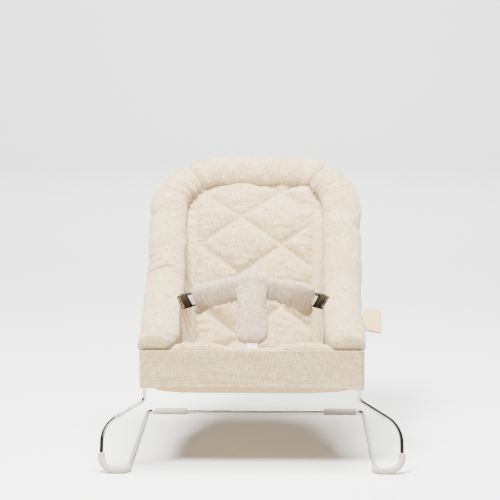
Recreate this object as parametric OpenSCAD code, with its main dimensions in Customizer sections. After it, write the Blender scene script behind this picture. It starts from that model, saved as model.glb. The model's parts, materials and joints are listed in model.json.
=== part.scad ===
// Baby bouncer seat: a sprung wire base, a reclining hoop in a padded bolster, a quilted sling
// and a T-shaped harness. +X is the sitter's left, the sitter faces -Y, +Z is up.
// The origin is on the floor under the middle of the whole seat.

/* [Base] */
// Depth of the base, from the front foot wires to the rear crossbar, centre to centre
base_depth = 522; // [440:1:600]
// Distance between the two floor wires at the front, centre to centre
base_front_w = 447; // [410:1:470]
// Distance between the two floor wires at the rear, centre to centre
base_rear_w = 440; // [410:1:470]
// Distance between the two spring loops at their widest, centre to centre
loop_w = 543; // [530:1:600]
// Diameter of the sprung steel wire
wire_d = 7; // [6:0.5:8]
// Outside diameter of the rubber sleeves
sleeve_d = 12.5; // [11:0.5:15]
// Length of each rear sleeve
rear_sleeve_l = 65; // [40:1:80]
// Distance from the middle of the seat to the inner end of each rear sleeve
rear_sleeve_x = 139; // [80:1:140]
// How far the spring loops lean back from upright, in degrees
loop_lean = 23.6; // [15:0.1:28]
// Radius of the spring loop's large bend
loop_r = 55; // [45:1:60]
// Upward slope of the wire between the loop and the riser, in degrees
loop_slope = 32.4; // [28:0.1:35]

/* [Seat] */
// Distance between the two risers, centre to centre
riser_w = 391; // [370:1:400]
// Height of the bend where a riser turns back into the seat rail
rail_z = 222; // [205:1:260]
// Length of the seat rail, from the riser to the recline hub
rail_l = 230; // [200:1:270]
// Upward slope of the seat rail, in degrees
rail_slope = 18.8; // [15:0.1:24]
// Height of the front band
band_h = 71; // [60:1:80]
// Thickness of the front band's fabric
band_t = 4; // [3:0.5:5]
// Diameter of the spreader rod behind the band
spreader_d = 8; // [6:0.5:8]

/* [Backrest] */
// Length of the backrest, from the recline hub to the middle of the top bolster
back_l = 313; // [260:1:370]
// Upward slope of the backrest, in degrees
back_slope = 38.7; // [34:0.1:50]
// Outside diameter of the backrest tube
hoop_d = 12; // [10:0.5:13]
// Wall of the backrest tube
hoop_wall = 1.2; // [1:0.1:2]
// Radius of the hoop's top corners, at the middle of the tube
hoop_r = 100; // [70:1:120]
// How far the backrest reclines from its rest, in degrees
recline_max = 16; // [10:1:18]

/* [Padding] */
// Width of the bolster, across the seat
bolster_w = 73; // [65:1:76]
// Thickness of the bolster
bolster_t = 45; // [42:1:50]
// Thickness of the quilted panel
quilt_t = 10; // [8:0.5:12]
// Half width of the quilted panel
quilt_half_w = 113; // [100:1:116]
// Thickness of the lining under the sling
lining_t = 2.5; // [2:0.5:3]
// Gap in the padding each side of the recline hub
hub_gap = 27; // [25:1:32]

/* [Recline hub] */
// Distance from the middle of the seat to the joint between the two hub halves
hub_x = 164; // [160:1:168]
// Radius of the hub
hub_r = 20; // [19:0.5:21]
// Radius of the pivot rivet
rivet_r = 4; // [3:0.5:4.5]
// Travel of the release button
button_travel = 5.5; // [5:0.1:6]
// Number of teeth on the lock gear
gear_teeth = 12; // [8:1:16]

/* [Harness] */
// Width of the webbing
webbing_w = 20; // [18:1:25]
// Thickness of the webbing
webbing_t = 1.6; // [1.2:0.1:2]
// Width of the harness pad's arms
arm_w = 46; // [44:1:52]
// Thickness of the harness pad
pad_t = 25; // [24:1:28]
// Travel of a buckle plug from locked to clear of its socket
plug_travel = 18; // [16:1:20]

/* [Hidden] */
$fn = 48;

chrome = "#c9c7c2";
rubber = "#b9b2a8";
linen = "#e3dcd1";
pad_linen = "#d7cdc2";
lining = "#b39a7b";
black_plastic = "#251b12";
grey_plastic = "#6f6a64";
white_web = "#efece6";
zinc = "#a9a8a6";
tape = "#d4c4ae";

sides = 12;
bolster_sides = 20;
// Steps in each rounded corner; odd, so that the middle of a corner is the middle of a step
bend_steps = 7;
clear = 0.3;
running = 0.05;

// Base: the sleeves stand on a narrow flat, so the wire lies a little under the sleeve's radius up
tread = 0.25;
wire_z = sleeve_d / 2 - tread;
foot_r = 16;
foot_rise_r = 25;
rear_r = 15;
sleeve_mouth = 31;
wire_end = 27;
wire_gap = 0.6;
mouth_clear = 0.8;

// Side profile: riser, seat rail, hub and top of the backrest, before the origin is centred
loop_rise = (loop_w - riser_w) / 2 * tan(loop_slope);
loop_corner = 81;
riser_foot = loop_corner + loop_rise;
riser_y = riser_foot * sin(loop_lean);
hub_y = riser_y + rail_l * cos(rail_slope);
hub_z = rail_z + rail_l * sin(rail_slope);
top_y = hub_y + back_l * cos(back_slope);
top_z = hub_z + back_l * sin(back_slope);
top_reach = norm([bolster_w / 2 * cos(back_slope), bolster_t / 2 * sin(back_slope)]);
centre_y = (top_y + top_reach - sleeve_d / 2) / 2;
rail_r = 26;

rail_dir = [0, cos(rail_slope), sin(rail_slope)];
rail_up = [0, -sin(rail_slope), cos(rail_slope)];
back_dir = [0, cos(back_slope), sin(back_slope)];
back_up = [0, -sin(back_slope), cos(back_slope)];

// Hub: the seat half is inside and the back half is outside the joint plane at hub_x
hub_wall = 2.5;
hub_floor = 5;
gear_r = 13.7;
gear_root_r = 11.6;
gear_t = 2 * (button_travel - 1.5);
spring_solid = 6;
seat_half_t = hub_wall + gear_t / 2 + button_travel + spring_solid;
back_half_t = gear_t / 2 + 3 + hub_floor;
// Each tube keeps clear of the other half of the hub, however thick it is
socket_x = wire_d / 2 + 7.5;
socket_l = 20;
hoop_x = hub_x + hoop_d / 2 + 1.5;
// Where the hub's boss for the backrest tube starts, and where the tube stops inside it
boss_at = 14;
tube_at = 16.5;
spring_r = 8.3;
spring_wire_r = 0.7;
spring_turns = 4;
cap_x = hub_x + back_half_t + button_travel + 2;
cap_t = 2.5;
cap_r = 12.5;
leg_r = 1.8;
leg_at = 9;
leg_gap = 0.2;

// Band and spreader: the fabric runs in front of and behind the risers
band_gap = 0.6;
facing_gap = 1.5;
band_front = riser_y - wire_d / 2 - band_gap;
band_back = riser_y + wire_d / 2 + facing_gap;
band_z = rail_z - 5 - band_h;
band_half_w = riser_w / 2 + 8;
spreader_z = band_z + band_h - 12;
clamp_w = 13;
clamp_h = 12;
clamp_lip = 1.5;
// How far the facing stops below the band's top edge, clear of the bend in the wire
facing_drop = 15;

// Sling: the upper face of the quilted panel at the middle of the seat
panel_top = [top_y, top_z] - [back_dir.y, back_dir.z] * (bolster_w / 2 + 1);
shoulder = panel_top - 100 * [cos(back_slope), sin(back_slope)];
waist = shoulder - 130 * [cos(back_slope + 16.3), sin(back_slope + 16.3)];
hip = waist - 124 * [cos(back_slope + 22), sin(back_slope + 22)];
pocket_z = band_z - 18;
back_line = [panel_top, shoulder, waist, hip];
seat_line = [hip - [14, 23], [hub_y - 48, pocket_z + 14], [hub_y - 100, pocket_z],
    [hub_y - 150, pocket_z + 6], [riser_y + 34, pocket_z + 36], [riser_y + 15, rail_z - 8]];
// The lining leaves the panel in the pocket and runs on towards the band's lower hem
lining_line = [for (i = [0 : 3]) seat_line[i], [band_back + 22, band_z + 8]];
gusset_t = 3;
// Gap between the quilted panel and the lining behind it
ply_gap = 1;
gusset_x = quilt_half_w + 2;

// Label: a folded tape sewn into the outer seam of the left bolster, tag_along up the rail
tag_along = 110;
tag_shift = 0.9;
tag_lean = 35;
tag_w = 32;
tag_h = 48;
tag_t = 2;

// Harness: the buckles lie beside the hips, turned back along the waist strap
buckle_at = [117, riser_y + 127, rail_z + 67];
buckle_turn = [25, 15, 51];
prong_len = plug_travel - 1;
cavity_len = prong_len + 1.5;
socket_len = cavity_len + 9;
socket_w = webbing_w + 7;
socket_t = 10;
plug_len = 24;
plug_t = 5;
prong_t = 4.4;
cavity_t = prong_t + 1;
prong_z = webbing_w / 2 - prong_t / 2 - 0.8;
slot_w = webbing_w + 1;
arm_start = -22;
pocket_len = plug_travel + 20;
crown = [0, riser_y + 66, rail_z + 104];
crown_top = crown + [0, 10, 26];
leg_foot = [0, riser_y + 15, rail_z + 6];

function unit(v) = v / norm(v);
function last(list) = list[len(list) - 1];

// A path with its corners rounded: each inner corner becomes an arc of its own radius
function corner_arc(p, u, v, r) =
    let (turn = acos(u * v), n = unit(v - (v * u) * u), c = p - u * r * tan(turn / 2) + n * r)
    [for (i = [0 : bend_steps]) let (a = turn * i / bend_steps) c - n * r * cos(a) + u * r * sin(a)];
function rounded(pts, radii) = [
    for (i = [0 : len(pts) - 1])
        if (i == 0 || i == len(pts) - 1) pts[i]
        else each corner_arc(pts[i], unit(pts[i] - pts[i - 1]), unit(pts[i + 1] - pts[i]), radii[i])
];
function heading(path, i) =
    let (n = len(path) - 1)
    i == 0 ? unit(path[1] - path[0])
    : i == n ? unit(path[n] - path[n - 1])
    : unit(unit(path[i] - path[i - 1]) + unit(path[i + 1] - path[i]));
// The up direction of each ring, carried along the path without twist
function carried(path, up, i = 0) =
    let (t = heading(path, i), here = unit(up - (up * t) * t))
    i == len(path) - 1 ? [here] : concat([here], carried(path, here, i + 1));

function oval(w, t, n) = [for (i = [0 : n - 1]) [w / 2 * cos(360 * i / n), t / 2 * sin(360 * i / n)]];

// A solid that carries one outline along a path
module sweep(path, outline, up) {
    ups = carried(path, up);
    n = len(outline);
    m = len(path);
    points = [for (i = [0 : m - 1]) let (s = cross(heading(path, i), ups[i]))
        for (q = outline) path[i] + q.x * s + q.y * ups[i]];
    walls = [for (i = [0 : m - 2], j = [0 : n - 1])
        [i * n + (j + 1) % n, (i + 1) * n + (j + 1) % n, (i + 1) * n + j, i * n + j]];
    caps = [[for (j = [n - 1 : -1 : 0]) j], [for (j = [0 : n - 1]) (m - 1) * n + j]];
    polyhedron(points, concat(walls, caps));
}

// Everything is drawn with the front foot wires on y = 0 and moved to the centred origin
module centred() {
    translate([0, -centre_y, 0]) children();
}
module left() {
    mirror([1, 0, 0]) children();
}

// A bar along X from x = a to x = b at the hub's axis
module hub_bar(a, b, r) {
    translate([a, hub_y, hub_z]) rotate([0, 90, 0]) cylinder(h = b - a, r = r);
}

// ---- Base ----

// A point in the leaning plane of a spring loop, x across and s up the slope
function loop_at(x, s) = [x, s * sin(loop_lean), wire_z + s * cos(loop_lean)];
foot_corner = [base_front_w / 2, 0, wire_z];

module base_half() {
    path = rounded([loop_at(loop_w / 2, wire_end), loop_at(loop_w / 2, 0), foot_corner,
        [base_rear_w / 2, base_depth, wire_z], [0, base_depth, wire_z]], [0, foot_rise_r, foot_r, rear_r, 0]);
    sweep(path, oval(wire_d, wire_d, sides), [0, 1, 0]);
}

module base_rail() {
    color(chrome) centred() {
        base_half();
        left() base_half();
    }
}

module foot_sleeve() {
    path = rounded([loop_at(loop_w / 2, sleeve_mouth), loop_at(loop_w / 2, 0), foot_corner,
        foot_corner + [0, foot_r + 10, 0]], [0, foot_rise_r, foot_r, 0]);
    bore = wire_d + 0.2;
    lean_up = unit(loop_at(0, 1) - loop_at(0, 0));
    color(rubber) centred() difference() {
        sweep(path, oval(sleeve_d, sleeve_d, sides * 2), [0, 1, 0]);
        sweep(concat([path[0] + lean_up], path, [last(path) + [0, 1, 0]]), oval(bore, bore, sides), [0, 1, 0]);
        translate(loop_at(loop_w / 2, wire_end)) rotate([-loop_lean, 0, 0])
            cylinder(h = sleeve_mouth, d = wire_d + 2 * mouth_clear);
        translate([0, -base_depth / 2, -base_depth]) cube(base_depth);
    }
}
module foot_sleeve_right() { foot_sleeve(); }
module foot_sleeve_left() { left() foot_sleeve(); }

module rear_sleeve() {
    color(rubber) centred() difference() {
        translate([rear_sleeve_x, base_depth, wire_z]) rotate([0, 90, 0]) difference() {
            cylinder(h = rear_sleeve_l, d = sleeve_d);
            translate([0, 0, -1]) cylinder(h = rear_sleeve_l + 2, d = wire_d + 0.1);
        }
        translate([0, base_depth - sleeve_d, -sleeve_d]) cube([base_depth, 2 * sleeve_d, sleeve_d]);
    }
}
module rear_sleeve_right() { rear_sleeve(); }
module rear_sleeve_left() { left() rear_sleeve(); }

// ---- Seat frame ----

hub_socket = [hub_x - socket_x, hub_y, hub_z];
rail_corner = [riser_w / 2, riser_y, rail_z];
rail_line = unit(hub_socket - rail_corner);

module spring_wire() {
    path = rounded([loop_at(loop_w / 2, wire_end + wire_gap), loop_at(loop_w / 2, loop_corner),
        loop_at(riser_w / 2, riser_foot), rail_corner, hub_socket - rail_line * (hub_r - 3)],
        [0, loop_r, 10, rail_r, 0]);
    color(chrome) centred() sweep(path, oval(wire_d, wire_d, sides), [0, 1, 0]);
}
module spring_wire_right() { spring_wire(); }
module spring_wire_left() { left() spring_wire(); }

module spreader_rod() {
    half = riser_w / 2 - wire_d / 2 - 1;
    color(zinc) centred() translate([-half, riser_y, spreader_z]) rotate([0, 90, 0])
        cylinder(h = 2 * half, d = spreader_d);
}

module spreader_clamp() {
    depth = wire_d + 1;
    color(grey_plastic) centred() translate([riser_w / 2, riser_y, spreader_z]) difference() {
        translate([-clamp_w, -depth / 2, -clamp_h / 2]) cube([clamp_w + wire_d / 2 + clamp_lip, depth, clamp_h]);
        translate([0, 0, -clamp_h / 2 - 1]) cylinder(h = clamp_h + 2, d = wire_d);
        translate([-clamp_w - 1, 0, 0]) rotate([0, 90, 0]) cylinder(h = clamp_w - wire_d / 2, d = spreader_d);
    }
}
module spreader_clamp_right() { spreader_clamp(); }
module spreader_clamp_left() { left() spreader_clamp(); }

// ---- Recline hubs ----

// The lock gear's outline; gap widens it into the pocket that the gear slides in
module gear_outline(gap) {
    step = 360 / gear_teeth;
    polygon([for (i = [0 : gear_teeth - 1]) each [
        let (a = step * i - step * 0.3) (gear_root_r + gap) * [cos(a), sin(a)],
        let (a = step * i - step * 0.2 - gap) (gear_r + gap) * [cos(a), sin(a)],
        let (a = step * i + step * 0.2 + gap) (gear_r + gap) * [cos(a), sin(a)],
        let (a = step * i + step * 0.3) (gear_root_r + gap) * [cos(a), sin(a)]]]);
}

// A rod from a point along a direction
module rod_along(start, dir, l, r) {
    translate(start) rotate([0, acos(dir.z), atan2(dir.y, dir.x)]) cylinder(h = l, r = r);
}

module hub_seat_half() {
    color(grey_plastic) centred() difference() {
        union() {
            hub_bar(hub_x - seat_half_t, hub_x - 1, hub_r);
            rod_along(hub_socket - rail_line * (hub_r + socket_l - 6), rail_line, socket_l, wire_d / 2 + 3);
        }
        translate([hub_x - seat_half_t + hub_wall, hub_y, hub_z]) rotate([0, 90, 0])
            linear_extrude(seat_half_t) gear_outline(0.25);
        hub_bar(hub_x - seat_half_t - 1, hub_x, rivet_r + running);
        rod_along(hub_socket - rail_line * (hub_r + socket_l), rail_line, socket_l + 3, wire_d / 2);
    }
}
module hub_seat_half_right() { hub_seat_half(); }
module hub_seat_half_left() { left() hub_seat_half(); }

module hub_back_half() {
    color(grey_plastic) centred() difference() {
        union() {
            hub_bar(hub_x - 0.6, hub_x + back_half_t, hub_r);
            rod_along([hoop_x, hub_y, hub_z] + back_dir * boss_at, back_dir, socket_l + 2, hoop_d / 2 + 2);
        }
        hub_bar(hub_x - 1, hub_x + back_half_t - hub_floor, gear_r + 0.6);
        hub_bar(hub_x, hub_x + back_half_t + 1, rivet_r + running);
        rod_along([hoop_x, hub_y, hub_z] + back_dir * tube_at, back_dir, socket_l + 3, hoop_d / 2);
        for (a = [0 : 120 : 240])
            translate([hub_x, hub_y, hub_z]) rotate([a, 0, 0]) translate([0, 0, leg_at]) rotate([0, 90, 0])
                cylinder(h = back_half_t + 1, r = leg_r + clear);
    }
}
module hub_back_half_right() { hub_back_half(); }
module hub_back_half_left() { left() hub_back_half(); }

module lock_gear() {
    color(zinc) centred() difference() {
        translate([hub_x - gear_t / 2, hub_y, hub_z]) rotate([0, 90, 0])
            linear_extrude(gear_t) gear_outline(0);
        hub_bar(hub_x - gear_t, hub_x + gear_t, rivet_r + clear);
    }
}
module lock_gear_right() { lock_gear(); }
module lock_gear_left() { left() lock_gear(); }

module lock_spring() {
    start = hub_x - seat_half_t + hub_wall + spring_wire_r + 0.05;
    length = hub_x - gear_t / 2 - spring_wire_r - 0.05 - start;
    steps = spring_turns * 12;
    path = [for (i = [0 : steps]) let (a = 30 * i)
        [start + length * i / steps, hub_y + spring_r * cos(a), hub_z + spring_r * sin(a)]];
    color(chrome) centred() sweep(path, oval(2 * spring_wire_r, 2 * spring_wire_r, 6), [1, 0, 0]);
}
module lock_spring_right() { lock_spring(); }
module lock_spring_left() { left() lock_spring(); }

module release_button() {
    color(grey_plastic) centred() {
        hub_bar(cap_x, cap_x + cap_t, cap_r);
        for (a = [0 : 120 : 240])
            translate([hub_x + gear_t / 2 + leg_gap, hub_y, hub_z]) rotate([a, 0, 0]) translate([0, 0, leg_at])
                rotate([0, 90, 0]) cylinder(h = cap_x - hub_x - gear_t / 2 - leg_gap + 1, r = leg_r);
    }
}
module release_button_right() { release_button(); }
module release_button_left() { left() release_button(); }

module pivot_rivet() {
    color(zinc) centred() {
        hub_bar(hub_x - seat_half_t - 2, hub_x + back_half_t + 1.5, rivet_r);
        hub_bar(hub_x - seat_half_t - 2, hub_x - seat_half_t, rivet_r + 3);
        hub_bar(hub_x + back_half_t + 0.1, hub_x + back_half_t + 1.5, rivet_r + 2);
    }
}
module pivot_rivet_right() { pivot_rivet(); }
module pivot_rivet_left() { left() pivot_rivet(); }

// ---- Padding and sling ----

module front_band() {
    color(linen) centred() translate([-band_half_w, band_front - band_t, band_z])
        cube([2 * band_half_w, band_t, band_h]);
}

module band_facing() {
    color(linen) centred() translate([-band_half_w, band_back, band_z])
        cube([2 * band_half_w, band_t / 2, band_h - facing_drop]);
}

// A strip of the sling: a line in side view, starting drop below it and t thick, from x = -half to half
function left_normal(line, i) =
    let (a = line[max(i - 1, 0)], b = line[min(i + 1, len(line) - 1)], d = (b - a) / norm(b - a))
    [-d.y, d.x];
module strip(line, drop, t, half) {
    n = len(line);
    outer = [for (i = [0 : n - 1]) line[i] + left_normal(line, i) * drop];
    inner = [for (i = [n - 1 : -1 : 0]) line[i] + left_normal(line, i) * (drop + t)];
    translate([-half, 0, 0]) rotate([90, 0, 90]) linear_extrude(2 * half) polygon(concat(outer, inner));
}

module seat_panel() {
    color(linen) centred() strip(seat_line, 0, quilt_t, quilt_half_w);
}
module back_panel() {
    color(linen) centred() intersection() {
        strip(back_line, 0, quilt_t, quilt_half_w);
        inside_hoop();
    }
}
module seat_lining() {
    color(lining) centred() strip(lining_line, quilt_t + ply_gap, lining_t, gusset_x + gusset_t);
}
module back_lining() {
    color(lining) centred() intersection() {
        strip(back_line, quilt_t + ply_gap, lining_t, gusset_x + gusset_t);
        inside_hoop();
    }
}
// The space inside the hoop's padding, whose top corners follow the bolster's inner edge
module inside_hoop() {
    half = bolster_x - bolster_w / 2 - ply_gap;
    top = back_l - bolster_w / 2 - ply_gap;
    r = hoop_r - bolster_w / 2;
    arc = [for (a = [0 : 15 : 90]) [half - r + r * cos(a), top - r + r * sin(a)]];
    mirrored = [for (i = [len(arc) - 1 : -1 : 0]) [-arc[i].x, arc[i].y]];
    translate([0, hub_y, hub_z]) rotate([back_slope, 0, 0]) translate([0, 0, -back_l / 2])
        linear_extrude(back_l) polygon(concat([[half, -back_l / 2]], arc, mirrored, [[-half, -back_l / 2]]));
}

// A side gusset: the fabric wall between the sling's edge and the bolster above it
module gusset(lower, upper) {
    color(linen) centred() translate([gusset_x, 0, 0]) rotate([90, 0, 90])
        linear_extrude(gusset_t) polygon(concat(lower, upper));
}
// Its rear edge leaves the sector that the backrest's lower edge sweeps as it reclines
module seat_gusset() {
    sweep_r = hub_z - hip.y + quilt_t + 3;
    gusset(seat_line, [last(seat_line) + [0, 12], [hub_y - hub_gap - 4, hub_z - 16],
        [hub_y, hub_z] - sweep_r * [sin(recline_max + 4), cos(recline_max + 4)]]);
}
module back_gusset() {
    start = [hub_y, hub_z] + [back_dir.y, back_dir.z] * (hub_gap + 4) - [back_up.y, back_up.z] * 4;
    gusset([hip, waist, shoulder], [shoulder + [back_up.y, back_up.z] * 10, start]);
}
module seat_gusset_right() { seat_gusset(); }
module seat_gusset_left() { left() seat_gusset(); }
module back_gusset_right() { back_gusset(); }
module back_gusset_left() { left() back_gusset(); }

bolster_x = hoop_x - 2;

module lower_bolster() {
    from = [bolster_x + 2, riser_y, rail_z] + rail_dir * 8 + rail_up * 2;
    to = [bolster_x, hub_y, hub_z] - rail_dir * hub_gap;
    color(linen) centred() difference() {
        sweep([from, to], oval(bolster_w, bolster_t, bolster_sides), rail_up);
        spring_channel();
    }
}
// The channel through the bolster that the wire and its hub socket lie in
module spring_channel() {
    sweep(rounded([[riser_w / 2, riser_y, rail_z - 60], rail_corner, hub_socket], [0, rail_r, 0]),
        oval(wire_d + 1, wire_d + 1, sides), [0, 1, 0]);
    rod_along(hub_socket - rail_line * (hub_r + socket_l - 4), rail_line, socket_l, wire_d / 2 + 3.5);
}
module lower_bolster_right() { lower_bolster(); }
module lower_bolster_left() { left() lower_bolster(); }

// The hoop's corner in the backrest plane: x across, l along the backrest from the hub
function back_at(x, l) = [x, hub_y, hub_z] + back_dir * l;
function hoop_path() = rounded([back_at(hoop_x, hub_gap), back_at(bolster_x, hub_gap + 40),
    back_at(bolster_x, back_l), back_at(0, back_l)], [0, 60, hoop_r, 0]);
// The half of the corner's arc before or after its mitre, which is the middle of the middle step
function corner_half(first) =
    let (arc = corner_arc(back_at(bolster_x, back_l), back_dir, [-1, 0, 0], hoop_r),
        k = floor(bend_steps / 2), mitre = (arc[k] + arc[k + 1]) / 2)
    first ? [for (i = [0 : k]) arc[i], mitre] : [mitre, for (i = [k + 1 : bend_steps]) arc[i]];

module hoop_channel(d) {
    path = concat([back_at(hoop_x, tube_at)], hoop_path());
    sweep(path, oval(d, d, sides), back_up);
}

module backrest_hoop() {
    color(chrome) centred() difference() {
        union() {
            hoop_channel(hoop_d);
            left() hoop_channel(hoop_d);
        }
        hoop_channel(hoop_d - 2 * hoop_wall);
        left() hoop_channel(hoop_d - 2 * hoop_wall);
    }
}

module upper_bolster() {
    path = concat([back_at(bolster_x, hub_gap)], corner_half(true));
    color(linen) centred() difference() {
        sweep(path, oval(bolster_w, bolster_t, bolster_sides), back_up);
        hoop_channel(hoop_d + 0.6);
        rod_along([hoop_x, hub_y, hub_z], back_dir, socket_l + 17, hoop_d / 2 + 2.5);
    }
}
module upper_bolster_right() { upper_bolster(); }
module upper_bolster_left() { left() upper_bolster(); }

module top_bolster() {
    half = corner_half(false);
    path = concat(half, [for (i = [len(half) - 1 : -1 : 0]) [-half[i].x, half[i].y, half[i].z]]);
    color(linen) centred() difference() {
        sweep(path, oval(bolster_w, bolster_t, bolster_sides), back_up);
        hoop_channel(hoop_d + 0.6);
        left() hoop_channel(hoop_d + 0.6);
    }
}

module label_tag() {
    at = [bolster_x + tag_shift + bolster_w / 2, riser_y, rail_z] + rail_dir * tag_along;
    color(tape) centred() translate(at) rotate([-tag_lean, 0, 0]) translate([0, -tag_t / 2, -tag_h / 2])
        cube([tag_w, tag_t, tag_h]);
}

// ---- Harness ----

// The buckle's own frame: x out along the waist strap, -y its front face, z across the webbing
module at_buckle() {
    translate(buckle_at) rotate(buckle_turn) children();
}
// A point along the strap from the buckle's mouth
strap_dir = [cos(buckle_turn.y) * cos(buckle_turn.z), cos(buckle_turn.y) * sin(buckle_turn.z), -sin(buckle_turn.y)];
strap_up = let (r = buckle_turn.x, a = [sin(buckle_turn.y) * cos(buckle_turn.z),
    sin(buckle_turn.y) * sin(buckle_turn.z), cos(buckle_turn.y)],
    b = [sin(buckle_turn.z), -cos(buckle_turn.z), 0]) a * cos(r) + b * sin(r);
function strap_at(l) = buckle_at + strap_dir * l;

module buckle_socket() {
    color(black_plastic) centred() at_buckle() difference() {
        translate([0, -socket_t / 2, -socket_w / 2]) cube([socket_len, socket_t, socket_w]);
        translate([-1, -cavity_t / 2, -webbing_w / 2]) cube([cavity_len, cavity_t, webbing_w]);
        translate([8, -cavity_t / 2, -socket_w / 2 - 1]) cube([9, cavity_t, socket_w + 2]);
        translate([socket_len - 8, -socket_t, -slot_w / 2]) cube([5, 2 * socket_t, slot_w]);
        translate([socket_len - 4, -socket_t, -slot_w / 2]) cube([5, socket_t + 1.2, slot_w]);
    }
}
module buckle_socket_right() { buckle_socket(); }
module buckle_socket_left() { left() buckle_socket(); }

module buckle_plug() {
    color(black_plastic) centred() at_buckle() {
        difference() {
            translate([-plug_len, -plug_t / 2, -socket_w / 2]) cube([plug_len - 0.4, plug_t, socket_w]);
            for (x = [-plug_len + 4, -10])
                translate([x, -plug_t, -slot_w / 2]) cube([5, 2 * plug_t, slot_w]);
        }
        for (z = [-prong_z, 0, prong_z])
            translate([-1, -prong_t / 2, z - prong_t / 2]) cube([prong_len + 1, prong_t, prong_t]);
    }
}
module buckle_plug_right() { buckle_plug(); }
module buckle_plug_left() { left() buckle_plug(); }

module arm_strap() {
    color(white_web) centred() at_buckle()
        translate([-plug_len - 12, -plug_t / 2 - webbing_t - 0.1, -webbing_w / 2])
            cube([plug_len + 8, webbing_t, webbing_w]);
}
module arm_strap_right() { arm_strap(); }
module arm_strap_left() { left() arm_strap(); }

module waist_strap() {
    color(white_web) centred() at_buckle()
        translate([socket_len - 7.5, -webbing_t / 2, -webbing_w / 2]) cube([6.5, webbing_t, webbing_w]);
}
module waist_strap_right() { waist_strap(); }
module waist_strap_left() { left() waist_strap(); }

module arm_pocket() {
    at_buckle() translate([arm_start - pocket_len, -5.5, -socket_w / 2 - 1])
        cube([pocket_len + 1, 9, socket_w + 2]);
}

module harness_pad() {
    arm = rounded([strap_at(arm_start), strap_at(arm_start - 52), crown], [0, 40, 0]);
    back = [for (i = [len(arm) - 2 : -1 : 0]) [-arm[i].x, arm[i].y, arm[i].z]];
    color(pad_linen) centred() difference() {
        union() {
            sweep(concat(arm, back), oval(pad_t, arm_w, bolster_sides), strap_up);
            sweep([crown_top, crown - [0, 8, 14], leg_foot + [0, 2, 5], leg_foot],
                oval(52, pad_t, bolster_sides), [0, -1, 0.4]);
        }
        arm_pocket();
        left() arm_pocket();
        translate(leg_foot) rotate([-25, 0, 0])
            translate([-webbing_w / 2 - 1, -1.6, -10]) cube([webbing_w + 2, 3.2, 36]);
    }
}

module crotch_strap() {
    color(white_web) centred() translate(leg_foot) rotate([-25, 0, 0])
        translate([-webbing_w / 2, -webbing_t / 2, -14]) cube([webbing_w, webbing_t, 36]);
}

base_rail();
foot_sleeve_left();
foot_sleeve_right();
rear_sleeve_left();
rear_sleeve_right();
spring_wire_left();
spring_wire_right();
spreader_rod();
spreader_clamp_left();
spreader_clamp_right();
hub_seat_half_left();
hub_seat_half_right();
hub_back_half_left();
hub_back_half_right();
lock_gear_left();
lock_gear_right();
lock_spring_left();
lock_spring_right();
release_button_left();
release_button_right();
pivot_rivet_left();
pivot_rivet_right();
front_band();
band_facing();
seat_panel();
seat_lining();
seat_gusset_left();
seat_gusset_right();
lower_bolster_left();
lower_bolster_right();
backrest_hoop();
back_panel();
back_lining();
back_gusset_left();
back_gusset_right();
upper_bolster_left();
upper_bolster_right();
top_bolster();
harness_pad();
crotch_strap();
waist_strap_left();
waist_strap_right();
buckle_socket_left();
buckle_socket_right();
buckle_plug_left();
buckle_plug_right();
arm_strap_left();
arm_strap_right();
label_tag();
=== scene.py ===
"""Baby bouncer seat: the looks of its padding, sling, harness, wire and sleeves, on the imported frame.

Everything is in metres in the frame's own axes: +X is the sitter's left, the sitter faces -Y, +Z is up.
"""
import json
import logging
import math
from dataclasses import dataclass
from enum import Enum
from typing import Any, Sequence

import bmesh
import bpy
import numpy as np
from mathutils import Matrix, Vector, noise


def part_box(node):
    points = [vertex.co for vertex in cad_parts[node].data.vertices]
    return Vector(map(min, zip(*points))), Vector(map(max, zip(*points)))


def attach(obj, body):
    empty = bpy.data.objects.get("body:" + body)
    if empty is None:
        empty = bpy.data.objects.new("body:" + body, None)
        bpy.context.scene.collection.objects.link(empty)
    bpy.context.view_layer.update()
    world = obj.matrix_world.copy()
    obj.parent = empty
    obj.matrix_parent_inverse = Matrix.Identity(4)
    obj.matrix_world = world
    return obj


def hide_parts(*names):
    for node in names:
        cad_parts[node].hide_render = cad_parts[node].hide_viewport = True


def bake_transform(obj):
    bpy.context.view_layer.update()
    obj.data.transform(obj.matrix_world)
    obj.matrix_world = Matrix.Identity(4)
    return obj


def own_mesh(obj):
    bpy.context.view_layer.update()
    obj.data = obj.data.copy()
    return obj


LOG = logging.getLogger("bouncer")
MM = 0.001
SIDES = ("left", "right")


# ---------------------------------------------------------------- finishes

def linear(code: str) -> tuple[float, float, float, float]:
    """Turns an sRGB hex colour into linear RGBA.

    Args:
        code: Six hex digits after a hash.

    Returns:
        Linear red, green, blue and an alpha of 1.
    """
    parts = [int(code[i:i + 2], 16) / 255 for i in (1, 3, 5)]
    return (*[c / 12.92 if c <= 0.04045 else ((c + 0.055) / 1.055) ** 2.4 for c in parts], 1.0)


def add(tree: bpy.types.NodeTree, kind: str, inputs: dict | None = None, **settings: Any) -> bpy.types.Node:
    """Adds one node with its settings, values and links.

    Args:
        tree: The node tree.
        kind: The node's type name.
        inputs: Socket name or number to a value, or to the output socket that feeds it.
        **settings: The node's own properties.

    Returns:
        The new node.
    """
    node = tree.nodes.new(kind)
    for key, value in settings.items():
        setattr(node, key, value)
    for key, value in (inputs or {}).items():
        if isinstance(value, bpy.types.NodeSocket):
            tree.links.new(value, node.inputs[key])
        else:
            node.inputs[key].default_value = value
    return node


def blank(name: str) -> tuple[bpy.types.Material, bpy.types.NodeTree]:
    """A material with an empty node tree."""
    made = bpy.data.materials.new(name)
    made.use_nodes = True
    made.node_tree.nodes.clear()
    return made, made.node_tree


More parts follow.
